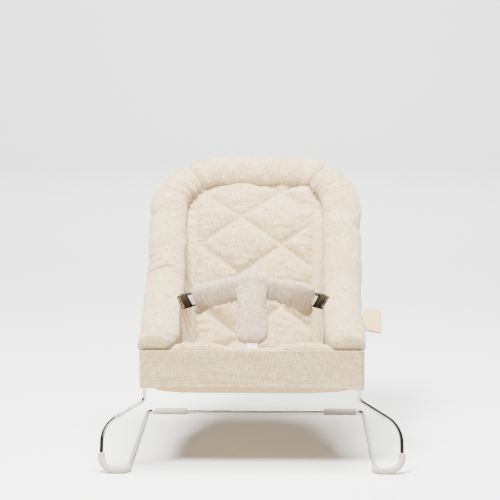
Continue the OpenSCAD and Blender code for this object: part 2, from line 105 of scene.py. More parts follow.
@dataclass(frozen=True)
class Weave:
    """A woven fabric of slubby yarn: streaks run along both threads, and the threads stand up a little."""

    name: str
    light: str
    dark: str
    fleck: str
    thread: float = 1.1 * MM
    slub: float = 16 * MM
    contrast: float = 0.55
    relief: float = 0.35
    roughness: float = 0.92
    sheen: float = 0.25

    def build(self) -> bpy.types.Material:
        """Makes the material; it reads the piece's UV map, which is in metres of cloth."""
        made, tree = blank(self.name)
        cloth = add(tree, "ShaderNodeTexCoord").outputs["UV"]
        streaks = []
        for along, across in ((self.slub, self.thread * 2.2), (self.thread * 2.2, self.slub * 0.8)):
            place = add(tree, "ShaderNodeMapping", {"Vector": cloth, "Scale": (1 / across, 1 / along, 1)})
            grain = add(tree, "ShaderNodeTexNoise", {"Vector": place.outputs[0], "Scale": 1.0, "Detail": 2.0})
            streaks.append(grain.outputs["Fac"])
        both = add(tree, "ShaderNodeMath", {0: streaks[0], 1: streaks[1]}, operation="ADD")
        spread = add(tree, "ShaderNodeMapRange", {
            "Value": both.outputs[0],
            "From Min": 1.0 - 0.28 / self.contrast, "From Max": 1.0 + 0.28 / self.contrast})
        tone = add(tree, "ShaderNodeMix", {
            "Factor": spread.outputs[0], "A": linear(self.dark), "B": linear(self.light)}, data_type="RGBA")
        patch = add(tree, "ShaderNodeTexNoise", {"Vector": cloth, "Scale": 1 / (38 * MM), "Detail": 5.0})
        lots = add(tree, "ShaderNodeMapRange", {
            "Value": patch.outputs["Fac"], "From Min": 0.4, "From Max": 0.66, "To Max": 0.45})
        warm = add(tree, "ShaderNodeMix", {
            "Factor": lots.outputs[0], "A": tone.outputs["Result"],
            "B": linear(self.fleck)}, data_type="RGBA")
        ribs = []
        wave = 2 * math.pi / (20 * self.thread)
        for way in ("X", "Y"):
            rib = add(tree, "ShaderNodeTexWave", {
                "Vector": cloth, "Scale": wave, "Distortion": 0.6, "Detail": 1.0, "Detail Scale": 2.0},
                wave_type="BANDS", bands_direction=way, wave_profile="SIN")
            ribs.append(rib.outputs["Fac"])
        knit = add(tree, "ShaderNodeMath", {0: ribs[0], 1: ribs[1]}, operation="MULTIPLY")
        rise = add(tree, "ShaderNodeMath", {0: knit.outputs[0], 1: spread.outputs[0]}, operation="ADD")
        bump = add(tree, "ShaderNodeBump", {
            "Strength": self.relief, "Distance": 0.5 * MM, "Height": rise.outputs[0]})
        shader = add(tree, "ShaderNodeBsdfPrincipled", {
            "Base Color": warm.outputs["Result"], "Normal": bump.outputs[0], "Roughness": self.roughness,
            "Sheen Weight": self.sheen, "Sheen Roughness": 0.6, "Specular IOR Level": 0.25})
        add(tree, "ShaderNodeOutputMaterial", {"Surface": shader.outputs[0]})
        return made


@dataclass(frozen=True)
class Metal:
    """A bare or plated metal, with faint wipe marks in its polish."""

    name: str
    colour: str
    roughness: float
    spread: float = 0.04
    grain: float = 6 * MM

    def build(self) -> bpy.types.Material:
        """Makes the material on Object coordinates."""
        made, tree = blank(self.name)
        here = add(tree, "ShaderNodeTexCoord").outputs["Object"]
        marks = add(tree, "ShaderNodeTexNoise", {"Vector": here, "Scale": 1 / self.grain, "Detail": 4.0})
        rough = add(tree, "ShaderNodeMapRange", {
            "Value": marks.outputs["Fac"], "To Min": max(self.roughness - self.spread, 0.02),
            "To Max": self.roughness + self.spread})
        bump = add(tree, "ShaderNodeBump", {
            "Strength": 0.05, "Distance": 0.05 * MM, "Height": marks.outputs["Fac"]})
        shader = add(tree, "ShaderNodeBsdfPrincipled", {
            "Base Color": linear(self.colour), "Metallic": 1.0, "Roughness": rough.outputs[0],
            "Normal": bump.outputs[0]})
        add(tree, "ShaderNodeOutputMaterial", {"Surface": shader.outputs[0]})
        return made


@dataclass(frozen=True)
class Moulded:
    """A moulded plastic or rubber: one colour with slight mottling, and a fine spark-eroded grain."""

    name: str
    colour: str
    shade: str
    roughness: float
    grain: float = 0.8 * MM
    relief: float = 0.12

    def build(self) -> bpy.types.Material:
        """Makes the material on Object coordinates."""
        made, tree = blank(self.name)
        here = add(tree, "ShaderNodeTexCoord").outputs["Object"]
        mottle = add(tree, "ShaderNodeTexNoise", {"Vector": here, "Scale": 1 / (14 * MM), "Detail": 4.0})
        tone = add(tree, "ShaderNodeMix", {
            "Factor": mottle.outputs["Fac"], "A": linear(self.colour),
            "B": linear(self.shade)}, data_type="RGBA")
        fine = add(tree, "ShaderNodeTexNoise", {"Vector": here, "Scale": 1 / self.grain, "Detail": 2.0})
        bump = add(tree, "ShaderNodeBump", {
            "Strength": self.relief, "Distance": 0.2 * MM, "Height": fine.outputs["Fac"]})
        rough = add(tree, "ShaderNodeMapRange", {
            "Value": mottle.outputs["Fac"], "To Min": self.roughness - 0.06, "To Max": self.roughness + 0.06})
        shader = add(tree, "ShaderNodeBsdfPrincipled", {
            "Base Color": tone.outputs["Result"], "Roughness": rough.outputs[0], "Normal": bump.outputs[0]})
        add(tree, "ShaderNodeOutputMaterial", {"Surface": shader.outputs[0]})
        return made


@dataclass(frozen=True)
class Painted:
    """A matt painted studio surface with very faint roller texture."""

    name: str
    colour: str

    def build(self) -> bpy.types.Material:
        """Makes the material on Object coordinates."""
        made, tree = blank(self.name)
        here = add(tree, "ShaderNodeTexCoord").outputs["Object"]
        roll = add(tree, "ShaderNodeTexNoise", {"Vector": here, "Scale": 1 / (60 * MM), "Detail": 2.0})
        bump = add(tree, "ShaderNodeBump", {
            "Strength": 0.03, "Distance": 1 * MM, "Height": roll.outputs["Fac"]})
        shader = add(tree, "ShaderNodeBsdfPrincipled", {
            "Base Color": linear(self.colour), "Roughness": 0.85, "Normal": bump.outputs[0],
            "Specular IOR Level": 0.2})
        add(tree, "ShaderNodeOutputMaterial", {"Surface": shader.outputs[0]})
        return made


class Stuff(Enum):
    """Every finish on the seat, as what the real one is made of."""

    LINEN = Weave("melange_linen", "#c9b690", "#8b734d", "#ab8857", 1.1 * MM, 18 * MM, 0.85, 0.55)
    PAD_LINEN = Weave("melange_linen_cool", "#c1af98", "#816c53", "#a08060", 1.0 * MM, 16 * MM, 0.85, 0.55)
    # The real lining is cream; this darker, saturated tan is painted shade and warm bounce light under the
    # seat.
    LINING_PAINTED_SHADE = Weave("polycotton_lining_painted_shade", "#b8975f", "#987742", "#a6844c", 0.6 * MM, 7 * MM, 0.3, 0.2, 0.85, 0.12)
    TAPE = Weave("cotton_tape", "#cfb482", "#b39764", "#bfa370", 0.7 * MM, 5 * MM, 0.35, 0.3, 0.9, 0.15)
    WEBBING = Weave("polyester_webbing", "#f6f3ee", "#e2ddd4", "#ece7de",
                    1.3 * MM, 4 * MM, 0.4, 0.6, 0.7, 0.1)
    THREAD = Moulded("sewing_thread", "#e9dfd0", "#d9cbb8", 0.7)
    CHROME = Metal("chrome_plated_steel", "#aca8a1", 0.07)
    ZINC = Metal("zinc_plated_steel", "#b4b3b0", 0.34, 0.08)
    RUBBER = Moulded("grey_thermoplastic_rubber", "#a99d90", "#9d9183", 0.62)
    BUCKLE = Moulded("black_acetal", "#0c0907", "#130e0b", 0.5)
    NYLON = Moulded("grey_glass_filled_nylon", "#6f6a64", "#66615b", 0.5)


MADE: dict[Stuff, bpy.types.Material] = {}


def finish_of(stuff: Stuff) -> bpy.types.Material:
    """The one material of a finish, made the first time it is asked for."""
    if stuff not in MADE:
        MADE[stuff] = stuff.value.build()
    return MADE[stuff]


# ---------------------------------------------------------------- lines and grids

def unit(v: np.ndarray) -> np.ndarray:
    """Vectors of length 1, along the last axis."""
    return v / np.maximum(np.linalg.norm(v, axis=-1, keepdims=True), 1e-12)


def ease(t: np.ndarray | float) -> np.ndarray:
    """Smoothstep of t, held to 0..1."""
    t = np.clip(t, 0.0, 1.0)
    return t * t * (3 - 2 * t)


def rounded(points: Sequence[Sequence[float]], radii: Sequence[float], steps: int = 12) -> np.ndarray:
    """Rounds the corners of a polyline.

    Args:
        points: The corner points.
        radii: A radius for each point; the ends' are not used.
        steps: Steps in each arc.

    Returns:
        The points of the rounded line.
    """
    pts = [np.array(p, float) for p in points]
    out = [pts[0]]
    for i in range(1, len(pts) - 1):
        u, v = unit(pts[i] - pts[i - 1]), unit(pts[i + 1] - pts[i])
        turn = math.acos(float(np.clip(u @ v, -1, 1)))
        if turn < 1e-4 or radii[i] <= 0:
            out.append(pts[i])
            continue
        n = unit(v - (v @ u) * u)
        centre = pts[i] - u * radii[i] * math.tan(turn / 2) + n * radii[i]
        for k in range(steps + 1):
            a = turn * k / steps
            out.append(centre - n * radii[i] * math.cos(a) + u * radii[i] * math.sin(a))
    out.append(pts[-1])
    return np.array(out)


class Route:
    """A line through space that carries its side and up directions along without twist."""

    def __init__(self, points: np.ndarray, up: Sequence[float], step: float = 2 * MM) -> None:
        """Resamples the line evenly and carries the up direction along it.

        Args:
            points: The line's points.
            up: The up direction at its start.
            step: Distance between samples.
        """
        gaps = np.linalg.norm(np.diff(points, axis=0), axis=1)
        marks = np.concatenate([[0], np.cumsum(gaps)])
        self.length = float(marks[-1])
        self.s = np.linspace(0, self.length, max(int(self.length / step), 8))
        self.pos = np.stack([np.interp(self.s, marks, points[:, k]) for k in range(3)], axis=1)
        ahead = unit(np.gradient(self.pos, axis=0))
        ups = []
        here = np.array(up, float)
        for t in ahead:
            here = unit(here - (here @ t) * t)
            ups.append(here)
        self.ahead, self.up = ahead, np.array(ups)
        self.side = np.cross(self.ahead, self.up)

    def at(self, s: np.ndarray) -> tuple[np.ndarray, np.ndarray, np.ndarray]:
        """Place, side and up at distances s along the line, which may have any shape."""
        flat = np.clip(np.asarray(s, float).ravel(), 0, self.length)
        out = [np.stack([np.interp(flat, self.s, a[:, k]) for k in range(3)], axis=1)
               for a in (self.pos, self.side, self.up)]
        shape = np.shape(s) + (3,)
        return out[0].reshape(shape), unit(out[1]).reshape(shape), unit(out[2]).reshape(shape)


def rumple(points: np.ndarray, size: float, seed: float = 0.0) -> np.ndarray:
    """Smooth noise from -1 to 1 at points.

    Args:
        points: An array whose last axis is x, y, z.
        size: The size of a lump, in metres.
        seed: Moves the noise elsewhere.

    Returns:
        One value for each point.
    """
    flat = points.reshape(-1, 3) / size
    made = np.array([noise.noise(Vector((p[0] + seed, p[1] - seed, p[2] + 2 * seed))) for p in flat])
    return made.reshape(points.shape[:-1])


def gathers(along: np.ndarray, pitch: float, seed: float = 0.0) -> np.ndarray:
    """Uneven ridges, as where cloth is drawn up on a thread.

    Args:
        along: Distance along the seam, any shape.
        pitch: Mean distance between ridges.
        seed: Moves the pattern.

    Returns:
        Height from -1 to 1.
    """
    flat = np.ravel(along)
    drift = np.array([noise.noise(Vector((a / (pitch * 4) + seed, seed * 3.1, 0))) for a in flat])
    swell = np.array([noise.noise(Vector((a / (pitch * 3) - seed, 7.7, seed))) for a in flat])
    wave = np.sin(2 * math.pi * flat / pitch + 5 * drift + seed)
    return (wave * (0.55 + 0.9 * swell)).reshape(np.shape(along))


def grid_normals(p: np.ndarray, ring: bool = False) -> np.ndarray:
    """Unit normals of a grid of points, rows along the first axis.

    Args:
        p: Points, rows by columns by 3.
        ring: Whether the columns close on themselves.

    Returns:
        The normals, as column direction crossed with row direction.
    """
    if ring:
        across = np.roll(p, -1, axis=1) - np.roll(p, 1, axis=1)
    else:
        across = np.gradient(p, axis=1)
    return unit(np.cross(across, np.gradient(p, axis=0)))


def make_mesh(name: str, verts: np.ndarray, faces: list[tuple[int, ...]], uvs: np.ndarray | None,
              stuff: Stuff) -> bpy.types.Object:
    """Makes a smooth-shaded object from points and faces.

    Args:
        name: The object's name.
        verts: Points, n by 3.
        faces: Faces as tuples of indices.
        uvs: One UV pair, in metres, for each corner of each face in order, or None.
        stuff: Its finish.

    Returns:
        The object, linked to the scene.
    """
    mesh = bpy.data.meshes.new(name)
    mesh.from_pydata(verts.tolist(), [], faces)
    if uvs is not None:
        layer = mesh.uv_layers.new(name="cloth")
        layer.data.foreach_set("uv", np.asarray(uvs, np.float32).ravel())
    mesh.polygons.foreach_set("use_smooth", [True] * len(mesh.polygons))
    mesh.materials.append(finish_of(stuff))
    mesh.update()
    made = bpy.data.objects.new(name, mesh)
    bpy.context.scene.collection.objects.link(made)
    return made


def grid_faces(rows: int, cols: int, start: int = 0, ring: bool = False,
               flip: bool = False) -> list[tuple[int, ...]]:
    """Quads of a grid of rows by cols points.

    Args:
        rows: Rows of points.
        cols: Points in each row.
        start: Index of the first point.
        ring: Whether each row closes on itself.
        flip: Whether to turn the faces over.

    Returns:
        The quads.
    """
    out = []
    last = cols if ring else cols - 1
    for i in range(rows - 1):
        for j in range(last):
            k = (j + 1) % cols
            a, b = start + i * cols + j, start + i * cols + k
            c, d = start + (i + 1) * cols + k, start + (i + 1) * cols + j
            out.append((d, c, b, a) if flip else (a, b, c, d))
    return out


def corner_uvs(faces: list[tuple[int, ...]], uv: np.ndarray, wrap: float = 0.0) -> np.ndarray:
    """UVs of each face corner, with the seam of a ring unwrapped.

    Args:
        faces: The faces.
        uv: One UV for each point.
        wrap: The ring's girth in U, or 0 where nothing closes.

    Returns:
        UV pairs in corner order.
    """
    out = []
    for f in faces:
        part = uv[list(f)].copy()
        if wrap and np.ptp(part[:, 0]) > wrap / 2:
            part[part[:, 0] < wrap / 2, 0] += wrap
        out.append(part)
    return np.concatenate(out)


def tube(name: str, p: np.ndarray, u: np.ndarray, v: np.ndarray, girth: float,
         stuff: Stuff) -> bpy.types.Object:
    """A closed tube from rings of points, with a cap on each end.

    Args:
        name: The object's name.
        p: Rings by points by 3; each ring runs so that its faces look outwards.
        u: Distance round the ring at each point.
        v: Distance along the tube at each ring.
        girth: The ring's whole girth.
        stuff: Its finish.

    Returns:
        The object.
    """
    rows, cols = p.shape[:2]
    faces = grid_faces(rows, cols, ring=True)
    faces.append(tuple(range(cols - 1, -1, -1)))
    faces.append(tuple((rows - 1) * cols + j for j in range(cols)))
    uv = np.stack(np.broadcast_arrays(u[None, :], v[:, None]), axis=-1).reshape(-1, 2)
    made = make_mesh(name, p.reshape(-1, 3), faces, corner_uvs(faces, uv, girth), stuff)
    turn_out(made)
    return made


def turn_out(piece: bpy.types.Object) -> None:
    """Turns a closed piece's faces outwards if they look in."""
    mesh = piece.data
    mesh.calc_loop_triangles()
    co = np.array([v.co for v in mesh.vertices])
    tris = np.array([t.vertices for t in mesh.loop_triangles])
    a, b, c = co[tris[:, 0]], co[tris[:, 1]], co[tris[:, 2]]
    if np.sum(np.cross(a, b) * c) < 0:
        mesh.flip_normals()


def slab(name: str, p: np.ndarray, uv: np.ndarray, thick: float | np.ndarray, stuff: Stuff,
         under: Stuff | None = None) -> bpy.types.Object:
    """A closed sheet of cloth from a grid of points on its middle.

    Args:
        name: The object's name.
        p: Rows by columns by 3.
        uv: Rows by columns by 2, in metres.
        thick: Thickness, one value or one for each point.
        stuff: The finish.
        under: The finish of the second face, if it differs.

    Returns:
        The object.
    """
    lift = grid_normals(p) * (np.broadcast_to(thick, p.shape[:2]) / 2)[..., None]
    return shell(name, p + lift, p - lift, uv, stuff, under)


def shell(name: str, top: np.ndarray, low: np.ndarray, uv: np.ndarray, stuff: Stuff,
          under: Stuff | None = None) -> bpy.types.Object:
    """A closed solid between two grids of points that match, with a rim.

    Args:
        name: The object's name.
        top: Rows by columns by 3.
        low: The other face, the same shape.
        uv: Rows by columns by 2, in metres.
        stuff: The finish.
        under: The finish of the low face, if it differs.

    Returns:
        The object.
    """
    rows, cols = top.shape[:2]
    total = rows * cols
    faces = grid_faces(rows, cols)
    faces += grid_faces(rows, cols, start=total, flip=True)
    low_count = len(faces)
    edge = [j for j in range(cols)] + [i * cols + cols - 1 for i in range(1, rows)]
    edge += [(rows - 1) * cols + j for j in range(cols - 2, -1, -1)]
    edge += [i * cols for i in range(rows - 2, 0, -1)]
    for a, b in zip(edge, edge[1:] + edge[:1]):
        faces.append((b, a, a + total, b + total))
    verts = np.concatenate([top.reshape(-1, 3), low.reshape(-1, 3)])
    flat = uv.reshape(-1, 2)
    made = make_mesh(name, verts, faces, corner_uvs(faces, np.concatenate([flat, flat])), stuff)
    if under is not None:
        made.data.materials.append(finish_of(under))
        index = np.zeros(len(faces), np.int32)
        index[low_count // 2:low_count] = 1
        made.data.polygons.foreach_set("material_index", index)
    turn_out(made)
    return made


def settle(piece: bpy.types.Object, held: np.ndarray, pressure: float, grow: float, cap: float,
           frames: int = 22, stiff: float = 12.0) -> None:
    """Lets a closed piece swell and gather by cloth simulation, and keeps the result.

    Args:
        piece: The mesh object.
        held: How firmly each vertex is held, 0 to 1.
        pressure: Air pressure inside.
        grow: How much larger the cloth is cut than the shape, as a share.
        cap: The furthest a point may move.
        frames: Frames to run.
        stiff: Stretch stiffness of the cloth.
    """
    scene = bpy.context.scene
    rest = np.array([v.co for v in piece.data.vertices])
    group = piece.vertex_groups.new(name="held")
    for i in np.nonzero(held > 0)[0]:
        group.add([int(i)], float(held[i]), "REPLACE")
    cloth = piece.modifiers.new("cloth", "CLOTH")
    how = cloth.settings
    how.quality, how.mass, how.air_damping = 5, 0.25, 5.0
    how.tension_stiffness = how.compression_stiffness = stiff
    how.shear_stiffness, how.bending_stiffness = stiff / 2, 0.3
    how.use_pressure, how.uniform_pressure_force = True, pressure
    how.shrink_min = -grow
    how.vertex_group_mass = "held"
    how.effector_weights.gravity = 0.0
    cloth.collision_settings.use_collision = False
    cloth.point_cache.frame_start, cloth.point_cache.frame_end = 1, frames
    for frame in range(1, frames + 1):
        scene.frame_set(frame)
    seen = piece.evaluated_get(bpy.context.evaluated_depsgraph_get())
    moved = np.array([v.co for v in seen.data.vertices])
    piece.modifiers.remove(cloth)
    piece.vertex_groups.remove(group)
    step = moved - rest
    far = np.linalg.norm(step, axis=1, keepdims=True)
    step *= np.minimum(1.0, cap / np.maximum(far, 1e-9))
    piece.data.vertices.foreach_set("co", (rest + step).astype(np.float32).ravel())
    piece.data.update()
    scene.frame_set(1)


# ---------------------------------------------------------------- node tools

def tool(name: str, sizes: dict[str, float]) -> tuple[bpy.types.NodeTree, bpy.types.Node, bpy.types.Node]:
    """Starts a Geometry Nodes tree with a line in, sizes and a finish, and a mesh out.

    Args:
        name: The tree's name.
        sizes: The names and starting values of its sizes.

    Returns:
        The tree, its input node and its output node.
    """
    tree = bpy.data.node_groups.new(name, "GeometryNodeTree")
    tree.interface.new_socket("Line", in_out="INPUT", socket_type="NodeSocketGeometry")
    for key, value in sizes.items():
        socket = tree.interface.new_socket(key, in_out="INPUT", socket_type="NodeSocketFloat")
        socket.default_value = value
    tree.interface.new_socket("Finish", in_out="INPUT", socket_type="NodeSocketMaterial")
    tree.interface.new_socket("Mesh", in_out="OUTPUT", socket_type="NodeSocketGeometry")
    return tree, tree.nodes.new("NodeGroupInput"), tree.nodes.new("NodeGroupOutput")


def wire_tool() -> bpy.types.NodeTree:
    """A tree that turns a line into a round bar with closed ends."""
    tree, start, end = tool("bar_along_line", {"Radius": 3.5 * MM})
    curve = add(tree, "GeometryNodeMeshToCurve", {"Mesh": start.outputs["Line"]})
    ring = add(tree, "GeometryNodeCurvePrimitiveCircle", {
        "Resolution": 24, "Radius": start.outputs["Radius"]})
    bar = add(tree, "GeometryNodeCurveToMesh", {
        "Curve": curve.outputs[0], "Profile Curve": ring.outputs[0], "Fill Caps": True})
    smooth = add(tree, "GeometryNodeSetShadeSmooth", {"Geometry": bar.outputs[0]})
    real = add(tree, "GeometryNodeRealizeInstances", {"Geometry": smooth.outputs[0]})
    dress = add(tree, "GeometryNodeSetMaterial", {
        "Geometry": real.outputs[0], "Material": start.outputs["Finish"]})
    tree.links.new(dress.outputs[0], end.inputs[0])
    return tree


def stitch_tool() -> bpy.types.NodeTree:
    """A tree that lays a row of stitches along a line."""
    tree, start, end = tool("stitches_along_line", {"Pitch": 4 * MM, "Length": 2.6 * MM, "Thread": 0.7 * MM})
    curve = add(tree, "GeometryNodeMeshToCurve", {"Mesh": start.outputs["Line"]})
    marks = add(tree, "GeometryNodeResampleCurve", {
        "Curve": curve.outputs[0], "Length": start.outputs["Pitch"]},
                mode="LENGTH")
    heading = add(tree, "GeometryNodeInputTangent")
    turn = add(tree, "FunctionNodeAlignRotationToVector", {"Vector": heading.outputs[0]}, axis="Z")
    bead = add(tree, "GeometryNodeMeshUVSphere", {"Segments": 6, "Rings": 4, "Radius": 0.5})
    size = add(tree, "ShaderNodeCombineXYZ", {
        "X": start.outputs["Thread"], "Y": start.outputs["Thread"], "Z": start.outputs["Length"]})
    row = add(tree, "GeometryNodeInstanceOnPoints", {
        "Points": marks.outputs[0], "Instance": bead.outputs[0], "Rotation": turn.outputs[0],
        "Scale": size.outputs[0]})
    real = add(tree, "GeometryNodeRealizeInstances", {"Geometry": row.outputs[0]})
    smooth = add(tree, "GeometryNodeSetShadeSmooth", {"Geometry": real.outputs[0]})
    dress = add(tree, "GeometryNodeSetMaterial", {
        "Geometry": smooth.outputs[0], "Material": start.outputs["Finish"]})
    tree.links.new(dress.outputs[0], end.inputs[0])
    return tree


class Tools:
    """Keeps each Geometry Nodes tree so that it is made once."""

    wire: bpy.types.NodeTree | None = None
    stitch: bpy.types.NodeTree | None = None


def along_lines(name: str, lines: Sequence[np.ndarray], tree: bpy.types.NodeTree, sizes: dict[str, float],
                stuff: Stuff) -> bpy.types.Object:
    """Runs a tree over lines and keeps the result as a plain mesh.

    Args:
        name: The new object's name.
        lines: Each line's points.
        tree: The Geometry Nodes tree.
        sizes: Values for its sizes, by name.
        stuff: The finish.

    Returns:
        The object.
    """
    verts = np.concatenate(lines)
    edges, at = [], 0
    for line in lines:
        edges += [(at + i, at + i + 1) for i in range(len(line) - 1)]
        at += len(line)
    mesh = bpy.data.meshes.new(name + "_line")
    mesh.from_pydata(verts.tolist(), edges, [])
    holder = bpy.data.objects.new(name + "_line", mesh)
    bpy.context.scene.collection.objects.link(holder)
    work = holder.modifiers.new("tool", "NODES")
    work.node_group = tree
    for item in tree.interface.items_tree:
        if item.item_type == "SOCKET" and item.in_out == "INPUT":
            if item.name in sizes:
                work[item.identifier] = sizes[item.name]
            elif item.name == "Finish":
                work[item.identifier] = finish_of(stuff)
    seen = holder.evaluated_get(bpy.context.evaluated_depsgraph_get())
    result = bpy.data.meshes.new_from_object(seen)
    result.name = name
    if not result.materials:
        result.materials.append(finish_of(stuff))
    made = bpy.data.objects.new(name, result)
    bpy.context.scene.collection.objects.link(made)
    holder.modifiers.remove(work)
    bpy.data.objects.remove(holder)
    return made


def stitches(name: str, lines: Sequence[np.ndarray], pitch: float = 4 * MM, length: float = 2.8 * MM,
             thread: float = 0.75 * MM) -> bpy.types.Object:
    """A piece made of rows of stitches along lines."""
    if Tools.stitch is None:
        Tools.stitch = stitch_tool()
    sizes = {"Pitch": pitch, "Length": length, "Thread": thread}
    return along_lines(name, lines, Tools.stitch, sizes, Stuff.THREAD)


def bar(name: str, line: np.ndarray, radius: float, stuff: Stuff) -> bpy.types.Object:
    """A round bar along a line."""
    if Tools.wire is None:
        Tools.wire = wire_tool()
    return along_lines(name, [line], Tools.wire, {"Radius": radius}, stuff)


# ---------------------------------------------------------------- the seat's own lines

@dataclass
class Profile:
    """The seat's side view: rail, hub, backrest and the sling that hangs from them."""

    rail_l: float = 230 * MM
    rail_slope: float = math.radians(18.8)
    back_l: float = 313 * MM
    back_slope: float = math.radians(38.7)
    bolster_x: float = 169.5 * MM
    bolster_w: float = 73 * MM
    bolster_t: float = 45 * MM
    corner_r: float = 100 * MM
    panel_x: float = 113 * MM

    def __post_init__(self) -> None:
        """Reads the hub and the band from the frame and works out the lines."""
        recline = next(j for j in FRAME["joints"] if j["name"] == "recline")
        self.hub = np.array(recline["pos_m"], float)
        self.band_lo, self.band_hi = (np.array(c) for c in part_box("front_band"))
        self.facing_hi = np.array(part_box("band_facing")[1])
        self.rail_dir = np.array([0, math.cos(self.rail_slope), math.sin(self.rail_slope)])
        self.rail_up = np.array([0, -math.sin(self.rail_slope), math.cos(self.rail_slope)])
        self.back_dir = np.array([0, math.cos(self.back_slope), math.sin(self.back_slope)])
        self.back_up = np.array([0, -math.sin(self.back_slope), math.cos(self.back_slope)])
        self.riser = self.hub - self.rail_dir * self.rail_l
        self.blend_start = self.hub - self.rail_dir * 55 * MM
        self.blend_end = self.hub + self.back_dir * 55 * MM

    def back_at(self, x: float, along: float) -> np.ndarray:
        """A point in the backrest's plane, x across and a distance up from the hub."""
        return self.hub + self.back_dir * along + np.array([x, 0, 0])

    def rail_at(self, x: float, along: float) -> np.ndarray:
        """A point in the seat rails' plane, x across and a distance forward from the hub."""
        return self.hub - self.rail_dir * along + np.array([x, 0, 0])

    def hoop(self) -> Route:
        """The bolster's centre line, from its left front end over the top to its right front end."""
        front, x = self.rail_l + 2 * MM, self.bolster_x
        points = [self.rail_at(-x - 2 * MM, front), self.rail_at(-x, 0), self.back_at(-x, self.back_l),
                  self.back_at(x, self.back_l), self.rail_at(x, 0), self.rail_at(x + 2 * MM, front)]
        radii = [0, 150 * MM, self.corner_r + 8 * MM, self.corner_r - 6 * MM, 150 * MM, 0]
        return Route(rounded(points, radii, 24), self.rail_up)

    def sling(self) -> np.ndarray:
        """The sling's middle in side view, from under the top bolster to behind the band."""
        top = self.back_at(0, self.back_l - self.bolster_w / 2 + 12 * MM)
        line = [top, self.back_at(0, self.back_l - self.bolster_w / 2 - 101 * MM)]
        for length, extra in ((130 * MM, 16.3), (124 * MM, 22.0)):
            a = self.back_slope + math.radians(extra)
            line.append(line[-1] - length * np.array([0, math.cos(a), math.sin(a)]))
        floor = self.band_lo[2] - 18 * MM
        line.append(np.array([0, self.hub[1] - 48 * MM, floor + 14 * MM]))
        line.append(np.array([0, self.hub[1] - 100 * MM, floor]))
        line.append(np.array([0, self.hub[1] - 150 * MM, floor + 6 * MM]))
        line.append(np.array([0, self.riser[1] + 34 * MM, floor + 36 * MM]))
        line.append(np.array([0, self.riser[1] + 15 * MM, self.riser[2] - 8 * MM]))
        line = np.array(line)
        for _ in range(3):
            cut = [line[0]]
            for a, b in zip(line[:-1], line[1:]):
                cut += [a * 0.75 + b * 0.25, a * 0.25 + b * 0.75]
            cut.append(line[-1])
            line = np.array(cut)
        return line

    def roll_x(self, along: np.ndarray) -> np.ndarray:
        """How far out the roll's centre is at distances up the backrest from the hub."""
        over = np.clip(along - (self.back_l - self.corner_r), 0, self.corner_r)
        return self.bolster_x - self.corner_r + np.sqrt(self.corner_r ** 2 - over ** 2)

    def cross(self, piece: bpy.types.Object) -> None:
        """Bakes the placement of a piece of cloth that runs between the seat and the backrest into its mesh.
        """
        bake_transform(piece)


# ---------------------------------------------------------------- sub-assemblies

